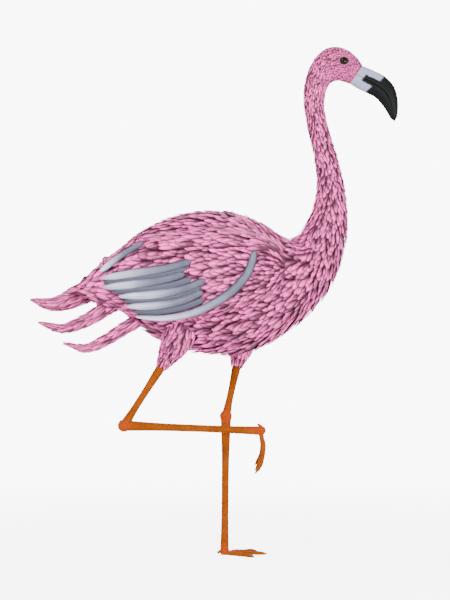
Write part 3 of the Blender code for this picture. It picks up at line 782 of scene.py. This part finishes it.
def bill_finish(name, edge_at, band):
    """Grey horn with growth lines, black past the bend and in a band along the mouth."""
    finish = Finish(name, 0.34, Specular_IOR_Level=0.05)
    along, lifted = finish.kept("along"), finish.kept("lifted")
    wander = (finish.noise(120.0, 4.0) - 0.5) * 0.22
    past_bend = finish.step(along + wander, edge_at - 0.10, edge_at + 0.10)
    at_mouth = 1 - finish.step(lifted - along * 0.05 + wander, band - 0.05, band + 0.05)
    black = finish.maths("MAXIMUM", past_bend, at_mouth * finish.step(along, 0.50, 0.75))
    waves = {"Vector": finish.place(), "Scale": 160.0, "Distortion": 6.0, "Detail": 3.0}
    growth = finish.node("TexWave", {"wave_type": "BANDS"}, **waves)
    cloud = finish.noise(60.0, 4.0)
    grey = finish.mix(cloud, (0.15, 0.155, 0.225, 1), (0.26, 0.27, 0.37, 1))
    grey = finish.mix(growth * 0.22, grey, (0.10, 0.105, 0.14, 1))
    horn_black = finish.mix(cloud, (0.0015, 0.002, 0.002, 1), (0.005, 0.006, 0.006, 1))
    rough = 0.36 + cloud * 0.18 + growth * 0.06
    finish.drive(Base_Color=finish.mix(black, grey, horn_black), Roughness=rough)
    finish.relief(growth * 0.5 + cloud, 0.00012)
    return finish.material


bill_upper = mandible("bill_upper_horn", CULMEN, 1.0)
bill_upper.data.materials.append(bill_finish("upper_horn", 1.95, 0.30))
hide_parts("bill_upper")
bill_lower = mandible("bill_lower_horn", KEEL, 0.94)
bill_lower.data.materials.append(bill_finish("lower_horn", 1.80, 0.22))
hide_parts("bill_lower")
for piece in (bill_upper, bill_lower):
    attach(piece, "root")

# ---------------------------------------------------------------- claws
# A short black claw on each front toe, of solid horn with fine streaks. It grows out of the toe's end and
# bends to the ground.

CLAW_LENGTH = 0.0085
CLAW_RADII = (0.0025, 0.0022, 0.0017, 0.0010, 0.0004)
CLAW_RINGS = 22


def claw_finish():
    """Black horn with brown streaks along it."""
    finish = Finish("claw_horn", 0.35, Specular_IOR_Level=0.35)
    streaks = finish.noise(700.0, 3.0)
    finish.drive(Base_Color=finish.mix(streaks, (0.008, 0.007, 0.007, 1), (0.040, 0.030, 0.026, 1)))
    finish.relief(streaks, 0.0001)
    return finish.material


claw_material = claw_finish()
for side_name, leg in LEGS.items():
    for toe in TOES:
        line = toe_line(leg, toe, 60)
        heading, up = unit(line[-1] - line[-2]), unit(leg["up"])
        if leg["curl"] == 0.0:
            heading = unit(heading - up * np.dot(heading, up))
        share = np.linspace(0, 1, CLAW_RINGS)[:, None]
        root = line[-1] - 0.0015 * heading + 0.0004 * up
        spine = root + heading * CLAW_LENGTH * share - up * 0.0016 * share**2
        rings = limb_rings(spine, profile(CLAW_RADII, CLAW_RINGS), np.cross(up, heading), 16, step=0.0)
        claw = closed_tube(f"claw_{side_name}_{toe}", rings)
        claw.data.materials.append(claw_material)
        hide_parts(f"foot_{side_name}_claw_{toe}")
        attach(claw, "root")

# ---------------------------------------------------------------- plumage of head, neck and trunk
# Small pink feathers in staggered rows, each a thin cupped vane that lies back over the next row's roots.
# They are shortest on the face and longest on the breast and back.

DRAW = np.random.default_rng(7)
PATCH = 0.003  # how large one feather's patch is on the coat's bake map


def resting(surface, at, turn):
    """Point, vector per station, vector per radian and outward normal, from small steps on the surface."""
    small = 1e-3
    per_station = (surface(at + small, turn) - surface(at - small, turn)) / (2 * small)
    per_turn = (surface(at, turn + small) - surface(at, turn - small)) / (2 * small)
    return surface(at, turn), per_station, per_turn, unit(np.cross(per_station, per_turn))


def laid(surface, at, turn, length, shares, lean, lowest):
    """Spines of feathers on a surface, from their roots towards lower stations.

    Each step goes its length along the lie, so the station falls by step over the surface's speed, and the
    lean carries it aside. Past the lowest station a spine runs straight on. Returns points and normals.
    """
    points, normals = [], []
    for step in np.diff(shares, append=shares[-1]):
        point, per_station, per_turn, normal = resting(surface, np.maximum(at, lowest), turn)
        speed = np.linalg.norm(per_station, axis=-1)
        beyond = np.maximum(lowest - at, 0) * speed
        points.append(point - unit(per_station) * beyond[:, None])
        normals.append(normal)
        at = at - step * length * np.cos(lean) / speed
        turn = turn + step * length * np.sin(lean) / np.maximum(np.linalg.norm(per_turn, axis=-1), 0.004)
    return np.stack(points, 1), np.stack(normals, 1)


def vane_shape(shares, root=0.30, fullest=0.52):
    """Half width along a vane, 1 at its fullest place: narrow at the root, rounded to a point at the tip."""
    before = root + (1 - root) * np.sin(np.clip(shares / fullest, 0, 1) * math.pi / 2)
    after = np.clip(1 - (np.clip(shares - fullest, 0, 1) / (1 - fullest)) ** 1.9, 0, 1) ** 0.65
    return before * after


# A vane cut across, as shares of its half width aside and of its thickness up: cupped, higher at the shaft.
SMALL_VANE = ((-1.0, -0.35), (0.0, 1.0), (1.0, -0.35), (0.0, -0.2))
LARGE_VANE = (
    (-1.0, -0.5), (-0.55, 0.35), (-0.08, 0.8), (0.0, 1.25), (0.08, 0.8), (0.55, 0.35), (1.0, -0.5),
    (0.5, -0.15), (-0.5, -0.15),
)


SMALL_BARBS = 0.0011  # one barb's width on a small feather


def vanes(
    name, points, normals, length, wide, thick, lift, shares, roots, tint, section, shape, barbs=SMALL_BARBS
):
    """Joined mesh of feathers, each with rings of section points from its first spine point to its last.

    A ring's point is the spine's, plus its side times the half width and the vane's shape there, plus its
    normal times the lift at that share and the section's own height times the thickness.
    """
    along = unit(np.gradient(points, axis=1))
    normals = unit(normals - np.sum(normals * along, axis=-1, keepdims=True) * along)
    sides = np.cross(normals, along)
    points = points + normals * lift[..., None]
    section = np.asarray(section)
    count, rows, ring = len(points), len(shares) - 2, len(section)
    half = wide[:, None] * shape[None, 1:-1]
    thin = thick[:, None] * np.sqrt(shape[None, 1:-1])
    across, high = section[:, 0], section[:, 1]
    rings = (
        points[:, 1:-1, None, :]
        + sides[:, 1:-1, None, :] * (half[..., None] * across)[..., None]
        + normals[:, 1:-1, None, :] * (thin[..., None] * high)[..., None]
    )
    ends = points[:, (0, -1)]
    whole = np.concatenate([rings.reshape(count, rows * ring, 3), ends], axis=1)
    start = np.arange(count)[:, None, None] * (rows * ring + 2)
    quads, fans = ring_quads(rows, ring) + start, end_fans(rows, ring) + start
    piece = mesh_piece(name, whole.reshape(-1, 3), quads.reshape(-1, 4), fans.reshape(-1, 3))
    at_share = np.append(np.repeat(shares[1:-1], ring), (0.0, 1.0))
    at_side = np.append(np.tile(across, rows), (0.0, 0.0))
    attribute(piece, "along", np.tile(at_share, count))
    attribute(piece, "edge", np.tile(np.abs(at_side), count))
    attribute(piece, "tint", np.repeat(tint, len(at_share)))
    reach = at_share[None, :] * length[:, None] - 0.9 * np.abs(at_side)[None, :] * wide[:, None]
    attribute(piece, "barb", reach / barbs)
    where = np.asarray(roots)[:, None, :] + PATCH * np.stack([at_side / 2, at_share - 0.5], -1)[None]
    where = np.clip(where.reshape(-1, 2), 0.0, 1.0)
    corners = np.empty(len(piece.data.loops), np.int32)
    piece.data.loops.foreach_get("vertex_index", corners)
    layer = piece.data.uv_layers.new(name="OFBake")
    layer.data.foreach_set("uv", where[corners].astype(np.float32).ravel())
    return piece


ROUND = 64  # places at which a row is measured


def staggered(surface, low, high, exposed, spacing):
    """Roots in rows round a closed surface, even along the ring's arc and half a feather off the last row's.

    Rows are stepped so that the side's run between them is the exposed length, and a row holds its ring's
    girth over the spacing. Where a bend crowds the rows, some roots are left out at random.
    """
    at, rows = high, []
    once_round = np.linspace(0, 2 * math.pi, ROUND + 1)
    while at > low:
        place = np.array([at])
        ring, per_station = resting(surface, np.full(ROUND, at), turns(ROUND))[:2]
        speed = np.linalg.norm(per_station, axis=-1)
        usual = np.percentile(speed, 80)
        chords = np.linalg.norm(np.roll(ring, -1, axis=0) - ring, axis=1)
        girth = np.sum(chords)
        count = int(girth / spacing(place)[0])
        wanted = (np.arange(count) + 0.5 * (len(rows) % 2) + DRAW.uniform(-0.22, 0.22, count)) / count % 1.0
        turn = np.interp(wanted * girth, np.append(0, np.cumsum(chords)), once_round)
        own = np.interp(turn, once_round, np.append(speed, speed[0]))
        step = exposed(place)[0] / usual
        stay = DRAW.uniform(0, 1, count) < np.clip(1.6 * own / usual, 0.4, 1.0)
        jitter = DRAW.uniform(-0.25, 0.25, count) * step
        rows.append(np.stack([at + jitter, turn], -1)[stay])
        at -= step
    return np.concatenate(rows)


def plumage_finish(name, deep, middle, pale, rough=0.62, contrast=1.0, barbed=0.04):
    """Feather vanes: painted shade at their roots and rims, where neighbours overlap them, lighter along the
    shaft to the tip, and each its own tint.
    """
    finish = Finish(name, rough, Specular_IOR_Level=0.10)
    along, edge, tint, barb = (finish.kept(word) for word in ("along", "edge", "tint", "barb"))
    cloud = finish.noise(26.0, 2.0)
    ripple = finish.maths("SINE", barb * (2 * math.pi))
    # Painted shade: darkest at a vane's root, which lies under the row above it, and lighter towards the tip.
    shade_and_tone = 0.08 + finish.step(along, 0.30, 0.88) * 0.62
    shade_and_tone = shade_and_tone + (tint - 0.5) * (0.62 * contrast) + (cloud - 0.5) * 0.35
    # Painted shade along each vane's rims, where it meets its neighbours; the ripple is the barbs' own pattern.
    shade_and_tone = shade_and_tone - edge**2.0 * (0.36 * contrast) + ripple * barbed
    # The deep stop is the darkest feathers' own colour and also the colour of the painted shade.
    stops = [(0.0, (*deep, 1)), (0.42, (*middle, 1)), (0.95, (*pale, 1))]
    colour = finish.node("ValToRGB", {"stops": stops}, "Color", Fac=finish.clamped(shade_and_tone))
    finish.drive(Base_Color=colour, Roughness=rough + (cloud - 0.5) * 0.2)
    finish.relief(ripple * 0.5 + finish.noise(500.0, 2.0), 0.00035, 0.8)
    return finish.material


# Deep, middle and pale pink; the deep one also colours the painted shade at roots and rims.
PINKS = (0.105, 0.028, 0.057), (0.42, 0.078, 0.213), (0.94, 0.098, 0.435)
pink_plumage = plumage_finish("pink_plumage", *PINKS, contrast=1.35)


def length_at(at):
    """Feather length at a station: 5 mm on the face, 20 mm down the neck, 38 mm on the trunk."""
    stations = (0, 2, 5, 7, 8, 9.5, 12, 14, 16, 18.5, 20)
    lengths = (0.036, 0.040, 0.038, 0.034, 0.030, 0.025, 0.021, 0.0165, 0.0120, 0.0080, 0.0050)
    return np.interp(at, stations, lengths)


COAT_WIDE = 0.19  # half a coat feather's width over its length
THIN = 0.12  # and its thickness over that half width


def coat(name, roots, surface, long, lowest=0.05, rows=7, drop=None, girth=20.0, deep=None):
    """Coat piece over the body from its roots, left out where they would cover what stays bare.

    A feather's lift rises from the coat's depth under the surface at its root to 0 at its tip, by the
    share along it raised to the power 0.8.
    """
    at, turn = roots[:, 0], roots[:, 1]
    length = long * DRAW.uniform(0.86, 1.14, len(at))
    lean = DRAW.normal(0, 0.20, len(at))
    shares = np.linspace(0, 1, rows) ** 0.9
    points, normals = laid(surface, at, turn, length, shares, lean, lowest)
    if drop is not None:
        stay = ~drop(points)
        at, turn, length, points, normals = (kept[stay] for kept in (at, turn, length, points, normals))
    depth = coat_depth(at) if deep is None else np.full(len(at), deep)
    lift = depth[:, None] * (shares[None, :] ** 0.8 - 1)
    lift = lift + DRAW.normal(0, 0.10, len(at))[:, None] * depth[:, None]
    half = length * COAT_WIDE * DRAW.uniform(0.85, 1.15, len(at))
    where = np.stack([turn / (2 * math.pi) % 1.0, np.clip(at / girth, 0, 1)], -1) * (1 - 2 * PATCH) + PATCH
    tint = DRAW.uniform(0, 1, len(at))
    look = (lift, shares, where, tint, SMALL_VANE, vane_shape(shares))
    piece = vanes(name, points, normals, length, half, THIN * half, *look)
    piece.data.materials.append(pink_plumage)
    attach(piece, "root")


def over_eye(points):
    """Whether any of a feather's points would lie over an eye."""
    found = np.zeros(len(points), bool)
    for side_name in LEGS:
        centre, radius = eye_place(side_name)
        found |= np.any(np.linalg.norm(points - centre, axis=-1) < radius * 1.10, axis=1)
    return found


def body_roots(low, high, exposed, spacing):
    """Roots on the body between two stations, spaced by shares of the feathers' length."""
    return staggered(body, low, high, lambda at: exposed * length_at(at), lambda at: spacing * length_at(at))


head_roots = body_roots(HINDHEAD, FACE - 0.08, 0.36, 0.34)
coat("coat_head", head_roots, body, length_at(head_roots[:, 0]), drop=over_eye)
neck_roots = body_roots(CROP, HINDHEAD, 0.38, 0.34)
coat("coat_neck", neck_roots, body, length_at(neck_roots[:, 0]))
trunk_roots = body_roots(0.2, CROP, 0.36, 0.30)


def under_wing(points):
    """Whether a feather lies wholly under a folded wing."""
    hidden = np.ones(len(points), bool)
    for end in (points[:, 0], points[:, -1]):
        x = end[:, 0] - BODY_FORWARD
        row = wing_row(x)
        hidden &= (np.abs(end[:, 2] - row[:, 1]) < 0.58 * row[:, 2]) & (x < 0.06) & (x > -0.20)
    return hidden


for side_name, side in SIDES.items():
    roots = trunk_roots[np.sin(trunk_roots[:, 1]) * side >= 0]
    coat(f"coat_trunk_{side_name}", roots, body, length_at(roots[:, 0]), drop=under_wing, rows=9)

# ---------------------------------------------------------------- plumage of the thighs
# Short pink feathers, rooted in the skin of each thigh in rows. They hang down round it and end in a ragged
# fringe over the bare shin.

for side_name, leg in LEGS.items():
    surface = partial(thigh, leg)
    roots = staggered(surface, 0.02, 1.9, lambda at: 0.0075 + 0.002 * at, lambda at: 0.0068 + 0.001 * at)
    long = np.interp(roots[:, 0], (0, 1, 2), (0.017, 0.027, 0.034))
    coat(f"coat_thigh_{side_name}", roots, surface, long, lowest=0.01, girth=2.0, deep=THIGH_COAT)

# ---------------------------------------------------------------- wings
# The folded wing lies on the flank: rows of pink coverts, long soft shoulder feathers over its upper edge,
# and silver flight feathers that curve out from under them.

MID_HEIGHT = 1.57  # turn of the wing's middle height


def wing_long(at):
    """Length of a covert: 22 mm at the wrist, 58 mm at the tip."""
    return np.interp(at, (0, 2, 5, 8), (0.058, 0.052, 0.040, 0.022))


wing_rows = []
at = 7.7
while at > 0.5:
    speed = np.linalg.norm(resting(wing, np.array([at]), np.array([MID_HEIGHT]))[1])
    height = np.linalg.norm(wing(at, 0.25) - wing(at, math.pi - 0.25))
    count = max(4, int(height / (0.24 * wing_long(at))))
    share = (np.arange(count) + 0.5 * (len(wing_rows) % 2) + DRAW.uniform(0.05, 0.45, count)) / count
    turn = np.arccos(np.clip(1 - 2 * share, -1, 1)) * 0.94 + 0.09
    wing_rows.append(np.stack([np.full(count, at) + DRAW.uniform(-0.04, 0.04, count), turn], -1))
    at -= 0.34 * wing_long(at) / speed
wing_roots = np.concatenate(wing_rows)


def wing_coat(name, roots, long, wide, side, heights, rows=9, surface=wing, lean=0.15):
    """Vanes laid on the wing towards its tip, from the root's height over it to the tip's, then mirrored."""
    at, turn = roots[:, 0], roots[:, 1]
    length = long * DRAW.uniform(0.88, 1.12, len(at))
    shares = np.linspace(0, 1, rows) ** 0.92
    points, normals = laid(surface, at, turn, length, shares, DRAW.normal(0, lean, len(at)), 0.3)
    points, normals = mirrored(points, side), mirrored(normals, side)
    lift = heights[0] + (heights[1] - heights[0]) * shares[None, :] ** 0.8
    lift = lift + DRAW.normal(0, 0.0004, len(at))[:, None]
    half = length * wide * DRAW.uniform(0.85, 1.15, len(at))
    where = np.stack([0.1 + 0.8 * turn / (2 * math.pi), at / 8.4 + 0.02], -1)
    look = (lift, shares, where, DRAW.uniform(0, 1, len(at)), SMALL_VANE, vane_shape(shares))
    piece = vanes(name, points, normals, length, half, THIN * half, *look)
    piece.data.materials.append(pink_plumage)
    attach(piece, "root")
    return piece


def wing_round(at, turn):
    """Left wing inside its coat as a closed section: the outer face to pi, then the face towards the body.

    Height follows the turn's cosine and depth its sine, each raised to a power that squares the section.
    """
    at, turn = gridded(at, turn)
    row = through(WING_STATIONS, WING_TIP - at)
    up = np.sign(np.cos(turn)) * np.abs(np.cos(turn)) ** 0.7
    out = np.sign(np.sin(turn)) * np.abs(np.sin(turn)) ** 0.4
    x, z = row[..., 0], row[..., 1] + 0.94 * row[..., 2] * up
    aside = wing_face(x, z, WING_FLESH) - 0.65 * row[..., 3] * (1 - out)
    return np.stack([x + BODY_FORWARD, aside, z], axis=-1)


def inner_roots():
    """Roots over the wing's upper edge and inner face, where it stands free of the body."""
    roots = staggered(wing_round, 0.4, 6.4, lambda at: 0.26 * wing_long(at), lambda at: 0.20 * wing_long(at))
    place = wing_round(roots[:, 0], roots[:, 1])
    free = place[:, 1] > flank(place[:, 0] - BODY_FORWARD, place[:, 2]) - 0.004
    return roots[free & (np.sin(roots[:, 1]) < 0.45)]


COVERT_WIDE = 0.17  # half a covert's width over its length
SHOULDER_FEATHERS = 150
for side_name, side in SIDES.items():
    long = wing_long(wing_roots[:, 0])
    coverts = wing_coat(f"coverts_{side_name}", wing_roots, long, COVERT_WIDE, side, (-0.007, 0.0005))
    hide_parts(f"wing_{side_name}")
    upper_at = DRAW.uniform(3.3, 7.2, SHOULDER_FEATHERS)
    upper = np.stack([upper_at, DRAW.uniform(0.28, 0.95, SHOULDER_FEATHERS)], -1)
    long = DRAW.uniform(0.036, 0.056, SHOULDER_FEATHERS)
    wing_coat(f"shoulder_feathers_{side_name}", upper, long, 0.15, side, (-0.002, 0.0045), rows=12, lean=0.10)
    inner = inner_roots()
    long = 0.7 * wing_long(inner[:, 0])
    name = f"inner_coverts_{side_name}"
    wing_coat(name, inner, long, COVERT_WIDE, side, (-0.001, 0.005), surface=wing_round)

# The silver feathers: their run along the wing as (x, z) points from root to tip.
FLIGHT_FEATHERS = {
    "tertial": ((-0.208, 0.681), (-0.243, 0.661), (-0.275, 0.640), (-0.304, 0.618)),
    "secondary_1": ((-0.104, 0.640), (-0.160, 0.6245), (-0.228, 0.6145), (-0.302, 0.6045)),
    "secondary_2": ((-0.118, 0.613), (-0.172, 0.599), (-0.232, 0.591), (-0.296, 0.585)),
    "secondary_3": ((-0.074, 0.600), (-0.122, 0.581), (-0.185, 0.5695), (-0.262, 0.5655)),
    "secondary_4": ((-0.080, 0.5755), (-0.128, 0.556), (-0.186, 0.546), (-0.246, 0.5445)),
    "primary": (
        (0.032, 0.666), (0.013, 0.612), (-0.030, 0.568), (-0.094, 0.5335), (-0.160, 0.520), (-0.226, 0.5225),
    ),
}
FLIGHT_HALF_WIDTH = 0.0112
FLIGHT_POINTS = 120
BARB_STEP = 0.0026
# Deep, middle and pale silver; the deep one also colours the painted shade at roots and rims and on the vanes
# beneath.
SILVERS = (0.060, 0.062, 0.090), (0.24, 0.24, 0.33), (0.66, 0.66, 0.79)
silver_plumage = plumage_finish("silver_plumage", *SILVERS, rough=0.36, contrast=0.85, barbed=0.13)


def flight_spine(run):
    """Points on the wing's outer face under a feather's run, and the outward normals there."""

    def face(x, z):
        """Point of the face at a place along the body and a height."""
        return np.stack([x + BODY_FORWARD, wing_face(x, z), z], -1)

    x, z = through(run, np.linspace(0, len(run) - 1, FLIGHT_POINTS)).T
    small = 2e-3
    per_x = (face(x + small, z) - face(x - small, z)) / (2 * small)
    per_z = (face(x, z + small) - face(x, z - small)) / (2 * small)
    return face(x, z), unit(np.cross(per_z, per_x))


def flight_feather(name, run, side, wide, crown, height, tint, place):
    """One long vane on the wing's outer face: round at both ends and a little wider past its middle.

    Its half width is a square curve of the share along it, times the root of 1 less the share's sixth
    power, and a ripple at every barb step. The ends lie down on the wing and the rest stands height over it.
    """
    shares = np.linspace(0, 1, FLIGHT_POINTS)
    spine, normal = (mirrored(part[None], side) for part in flight_spine(run))
    length = np.array([np.sum(np.linalg.norm(np.diff(spine[0], axis=0), axis=1))])
    shape = (0.74 + 0.52 * shares - 0.26 * shares**2) * np.sqrt(np.clip(1 - shares**6, 0.0, 1))
    shape = shape * np.sqrt(np.clip(shares / 0.05, 0, 1))
    shape = shape * (1 + 0.02 * np.sin(2 * math.pi * shares * length / BARB_STEP))
    rise = np.clip(np.minimum(shares / 0.08, (1 - shares) / 0.05), 0, 1)
    look = ((0.0002 + height * rise)[None, :], shares, np.array([place]), np.array([tint]), LARGE_VANE, shape)
    piece = vanes(name, spine, normal, length, np.array([wide]), np.array([crown]), *look, barbs=BARB_STEP)
    piece.data.materials.append(silver_plumage)
    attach(piece, "root")
    return piece


UNDER_HALF_WIDTH = 0.0095
# Tint far below the usual range, so that the vanes beneath take the deep silver all over: painted shade.
UNDER_PAINTED_SHADE = -1.3
# Vanes of the row beneath, coloured dark all over as painted shade, which fill the gaps between the silver
# ones.
UNDER_FEATHERS = (
    ((-0.114, 0.6265), (-0.166, 0.612), (-0.230, 0.603), (-0.296, 0.595)),
    ((-0.104, 0.6020), (-0.150, 0.5885), (-0.210, 0.581), (-0.276, 0.576)),
    ((-0.084, 0.5870), (-0.125, 0.5690), (-0.186, 0.558), (-0.252, 0.555)),
    ((-0.078, 0.5590), (-0.122, 0.5430), (-0.180, 0.533), (-0.234, 0.534)),
)

for side_name, side in SIDES.items():
    for number, (feather, run) in enumerate(FLIGHT_FEATHERS.items()):
        name = f"flight_{side_name}_{feather}"
        place = (0.35, 0.10 + 0.15 * number)
        piece = flight_feather(name, run, side, FLIGHT_HALF_WIDTH, 0.0040, 0.0028, 0.5, place)
        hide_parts(f"wing_{side_name}_{feather}")
    for number, run in enumerate(UNDER_FEATHERS):
        name = f"under_{side_name}_{number + 1}"
        place = (0.65, 0.10 + 0.15 * number)
        flight_feather(name, run, side, UNDER_HALF_WIDTH, 0.0016, 0.0014, UNDER_PAINTED_SHADE, place)

# ---------------------------------------------------------------- tail
# Five drooping plumes with upturned ends, which grow from the rump: one above, and two pairs below it. Each
# is a bundle of long pink vanes that lie along it.

# Each plume's run as (x, z) points from root to tip, its half height and half width, how far aside it starts
# and ends, and how many feathers it has.
TAIL_PLUMES = {
    "tail_upper": (
        ((-0.236, 0.630), (-0.300, 0.597), (-0.356, 0.566), (-0.408, 0.549), (-0.458, 0.559)),
        0.026, 0.026, 0.0, 0.0, 330,
    ),
    "tail_middle": (
        ((-0.222, 0.580), (-0.285, 0.544), (-0.338, 0.513), (-0.388, 0.496), (-0.436, 0.508)),
        0.017, 0.017, 0.022, 0.034, 220,
    ),
    "tail_lower": (
        ((-0.190, 0.530), (-0.246, 0.500), (-0.296, 0.469), (-0.338, 0.452), (-0.376, 0.461)),
        0.015, 0.015, 0.019, 0.026, 220,
    ),
}
PLUME_ROWS = 12
GOLDEN_TURN = 2.399963  # from each root to the next, so that they never line up


def plume(run, half_height, half_width, start, end):
    """Surface of a tail plume, oval rings on its run: at runs from its tip (0) to its root (4)."""

    def surface(at, turn):
        """Point on the run, plus cos(turn) of the tapered height and sin(turn) of the tapered width."""
        at, turn = gridded(at, turn)
        share = 1 - at / 4
        line = through(run, 4 * share)
        small = 0.02
        ahead, behind = (through(run, np.clip(4 * share + way, 0, 4)) for way in (small, -small))
        step = unit(ahead - behind)
        taper = (1 - np.clip(share, 0, 1) ** 2.4) ** 0.8 + 0.05
        high = half_height * taper * np.cos(turn)
        aside = start + (end - start) * share + half_width * taper * np.sin(turn)
        x = line[..., 0] + step[..., 1] * high + BODY_FORWARD
        return np.stack([x, aside, line[..., 1] - step[..., 0] * high], axis=-1)

    return surface


for name, (run, half_height, half_width, start, end, count) in TAIL_PLUMES.items():
    for side_name, side in (("_left", 1), ("_right", -1)) if start else (("", 0),):
        surface = plume(run, half_height, half_width, side * start, side * end)
        at = 4 - 3.42 * (np.arange(count) / (count - 1)) ** 0.85
        turn = (np.arange(count) * GOLDEN_TURN) % (2 * math.pi)
        shares = np.linspace(0, 1, PLUME_ROWS)
        length = np.interp(at, (0.9, 4), (0.036, 0.052)) * DRAW.uniform(0.85, 1.1, count)
        points, normals = laid(surface, at, turn, length, shares, DRAW.normal(0, 0.08, count), 0.04)
        sink = np.interp(at, (0.9, 4), (0.004, 0.007))[:, None]
        rise = DRAW.uniform(-0.001, 0.002, count)[:, None]
        lift = -sink * (1 - shares[None, :]) ** 0.9 + rise * shares[None, :] ** 2
        half = DRAW.uniform(0.0032, 0.0046, count)
        where = np.stack([0.05 + 0.9 * turn / (2 * math.pi), 0.05 + 0.22 * at], -1)
        look = (lift, shares, where, DRAW.uniform(0, 1, count), LARGE_VANE, vane_shape(shares, 0.5, 0.45))
        piece = vanes(f"{name}_plumes{side_name}", points, normals, length, half, 0.16 * half, *look)
        piece.data.materials.append(pink_plumage)
        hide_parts(name + side_name)
        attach(piece, "root")

# ---------------------------------------------------------------- studio
# A wide pale matt floor under the foot, which fades into an even pale surround. Three soft boxes light the
# bird, and the camera stands level with its belly.

FLOOR_TURNS = 96
FLOOR_RADII = (0.3, 1.0, 3.0, 10.0, 60.0)
SURROUND = 9.2  # brightness the camera sees behind the bird
SKY_LIGHT = 1.4  # brightness that falls on the bird from all round
FLOOR_LIGHT = 2.7  # and from the floor, which throws light up under the belly


def stage_finish():
    """Diffuse floor near the bird, fading outwards to the surround's own brightness."""
    finish = Finish("pale_floor", 0.9)
    finish.shader.inputs["Base Color"].default_value = (0.80, 0.80, 0.80, 1)
    away = finish.node("VectorMath", {"operation": "LENGTH"}, "Value", _0=finish.place())
    seen = finish.node("LightPath", output="Is Camera Ray")
    dim = finish.node("Emission", Color=(1, 1, 1, 1), Strength=FLOOR_LIGHT)
    bright = finish.node("Emission", Color=(1, 1, 1, 1), Strength=SURROUND)
    glow = finish.blend(seen, dim, bright)
    faded = finish.step(away, 0.30, 2.2) * 0.35 + 0.65
    whole = finish.blend(faded, Value(finish, finish.shader.outputs[0]), glow)
    finish.links.new(whole.socket, finish.nodes["Material Output"].inputs["Surface"])
    return finish.material


turn = turns(FLOOR_TURNS)
ring = np.stack([np.cos(turn), np.sin(turn), 0 * turn], -1)
disc = np.vstack([(ring * np.reshape(FLOOR_RADII, (-1, 1, 1))).reshape(-1, 3), [(0, 0, 0)]])
upwards = ring_quads(len(FLOOR_RADII), FLOOR_TURNS)[:, (0, 3, 2, 1)]
hub = end_fans(len(FLOOR_RADII), FLOOR_TURNS)[:FLOOR_TURNS, ::-1]
floor = mesh_piece("floor", disc, upwards, hub)
floor.data.materials.append(stage_finish())

world = bpy.data.worlds.new("surround")
bpy.context.scene.world = world
world.use_nodes = True
nodes, links = world.node_tree.nodes, world.node_tree.links
bright = nodes.new("ShaderNodeBackground")
bright.inputs["Strength"].default_value = SURROUND
bright.inputs["Color"].default_value = (1, 1, 1, 1)
nodes["Background"].inputs["Strength"].default_value = SKY_LIGHT
nodes["Background"].inputs["Color"].default_value = (1, 1, 1, 1)
blended = nodes.new("ShaderNodeMixShader")
links.new(nodes.new("ShaderNodeLightPath").outputs["Is Camera Ray"], blended.inputs[0])
links.new(nodes["Background"].outputs[0], blended.inputs[1])
links.new(bright.outputs[0], blended.inputs[2])
links.new(blended.outputs[0], nodes["World Output"].inputs["Surface"])


def soft_light(name, place, aim, size, power):
    """Square soft box at a place, turned to its aim."""
    lamp = bpy.data.lights.new(name, "AREA")
    lamp.shape, lamp.size, lamp.energy = "SQUARE", size, power
    light = bpy.data.objects.new(name, lamp)
    bpy.context.scene.collection.objects.link(light)
    light.location = place
    x, y, z = np.subtract(place, aim)
    light.rotation_euler = (math.atan2(math.hypot(x, y), z), 0, math.atan2(y, x) + math.pi / 2)


soft_light("key", (-1.9, -2.4, 2.7), (0, 0, 0.6), 1.1, 215)
soft_light("fill", (1.7, -2.9, 0.30), (0, 0, 0.6), 1.8, 330)
soft_light("rim", (0.8, 2.6, 2.4), (0, 0, 0.7), 1.4, 130)

VIEW_HEIGHT = 1.314  # how much the camera takes in at the bird, from edge to edge
DISTANCE = 4.2
lens = bpy.data.cameras.new("camera")
lens.sensor_width = 36.0
lens.lens = lens.sensor_width * DISTANCE / VIEW_HEIGHT
camera = bpy.data.objects.new("camera", lens)
bpy.context.scene.collection.objects.link(camera)
camera.location = (0.001, -DISTANCE, 0.558)
camera.rotation_euler = (math.pi / 2, 0, 0)
bpy.context.scene.camera = camera
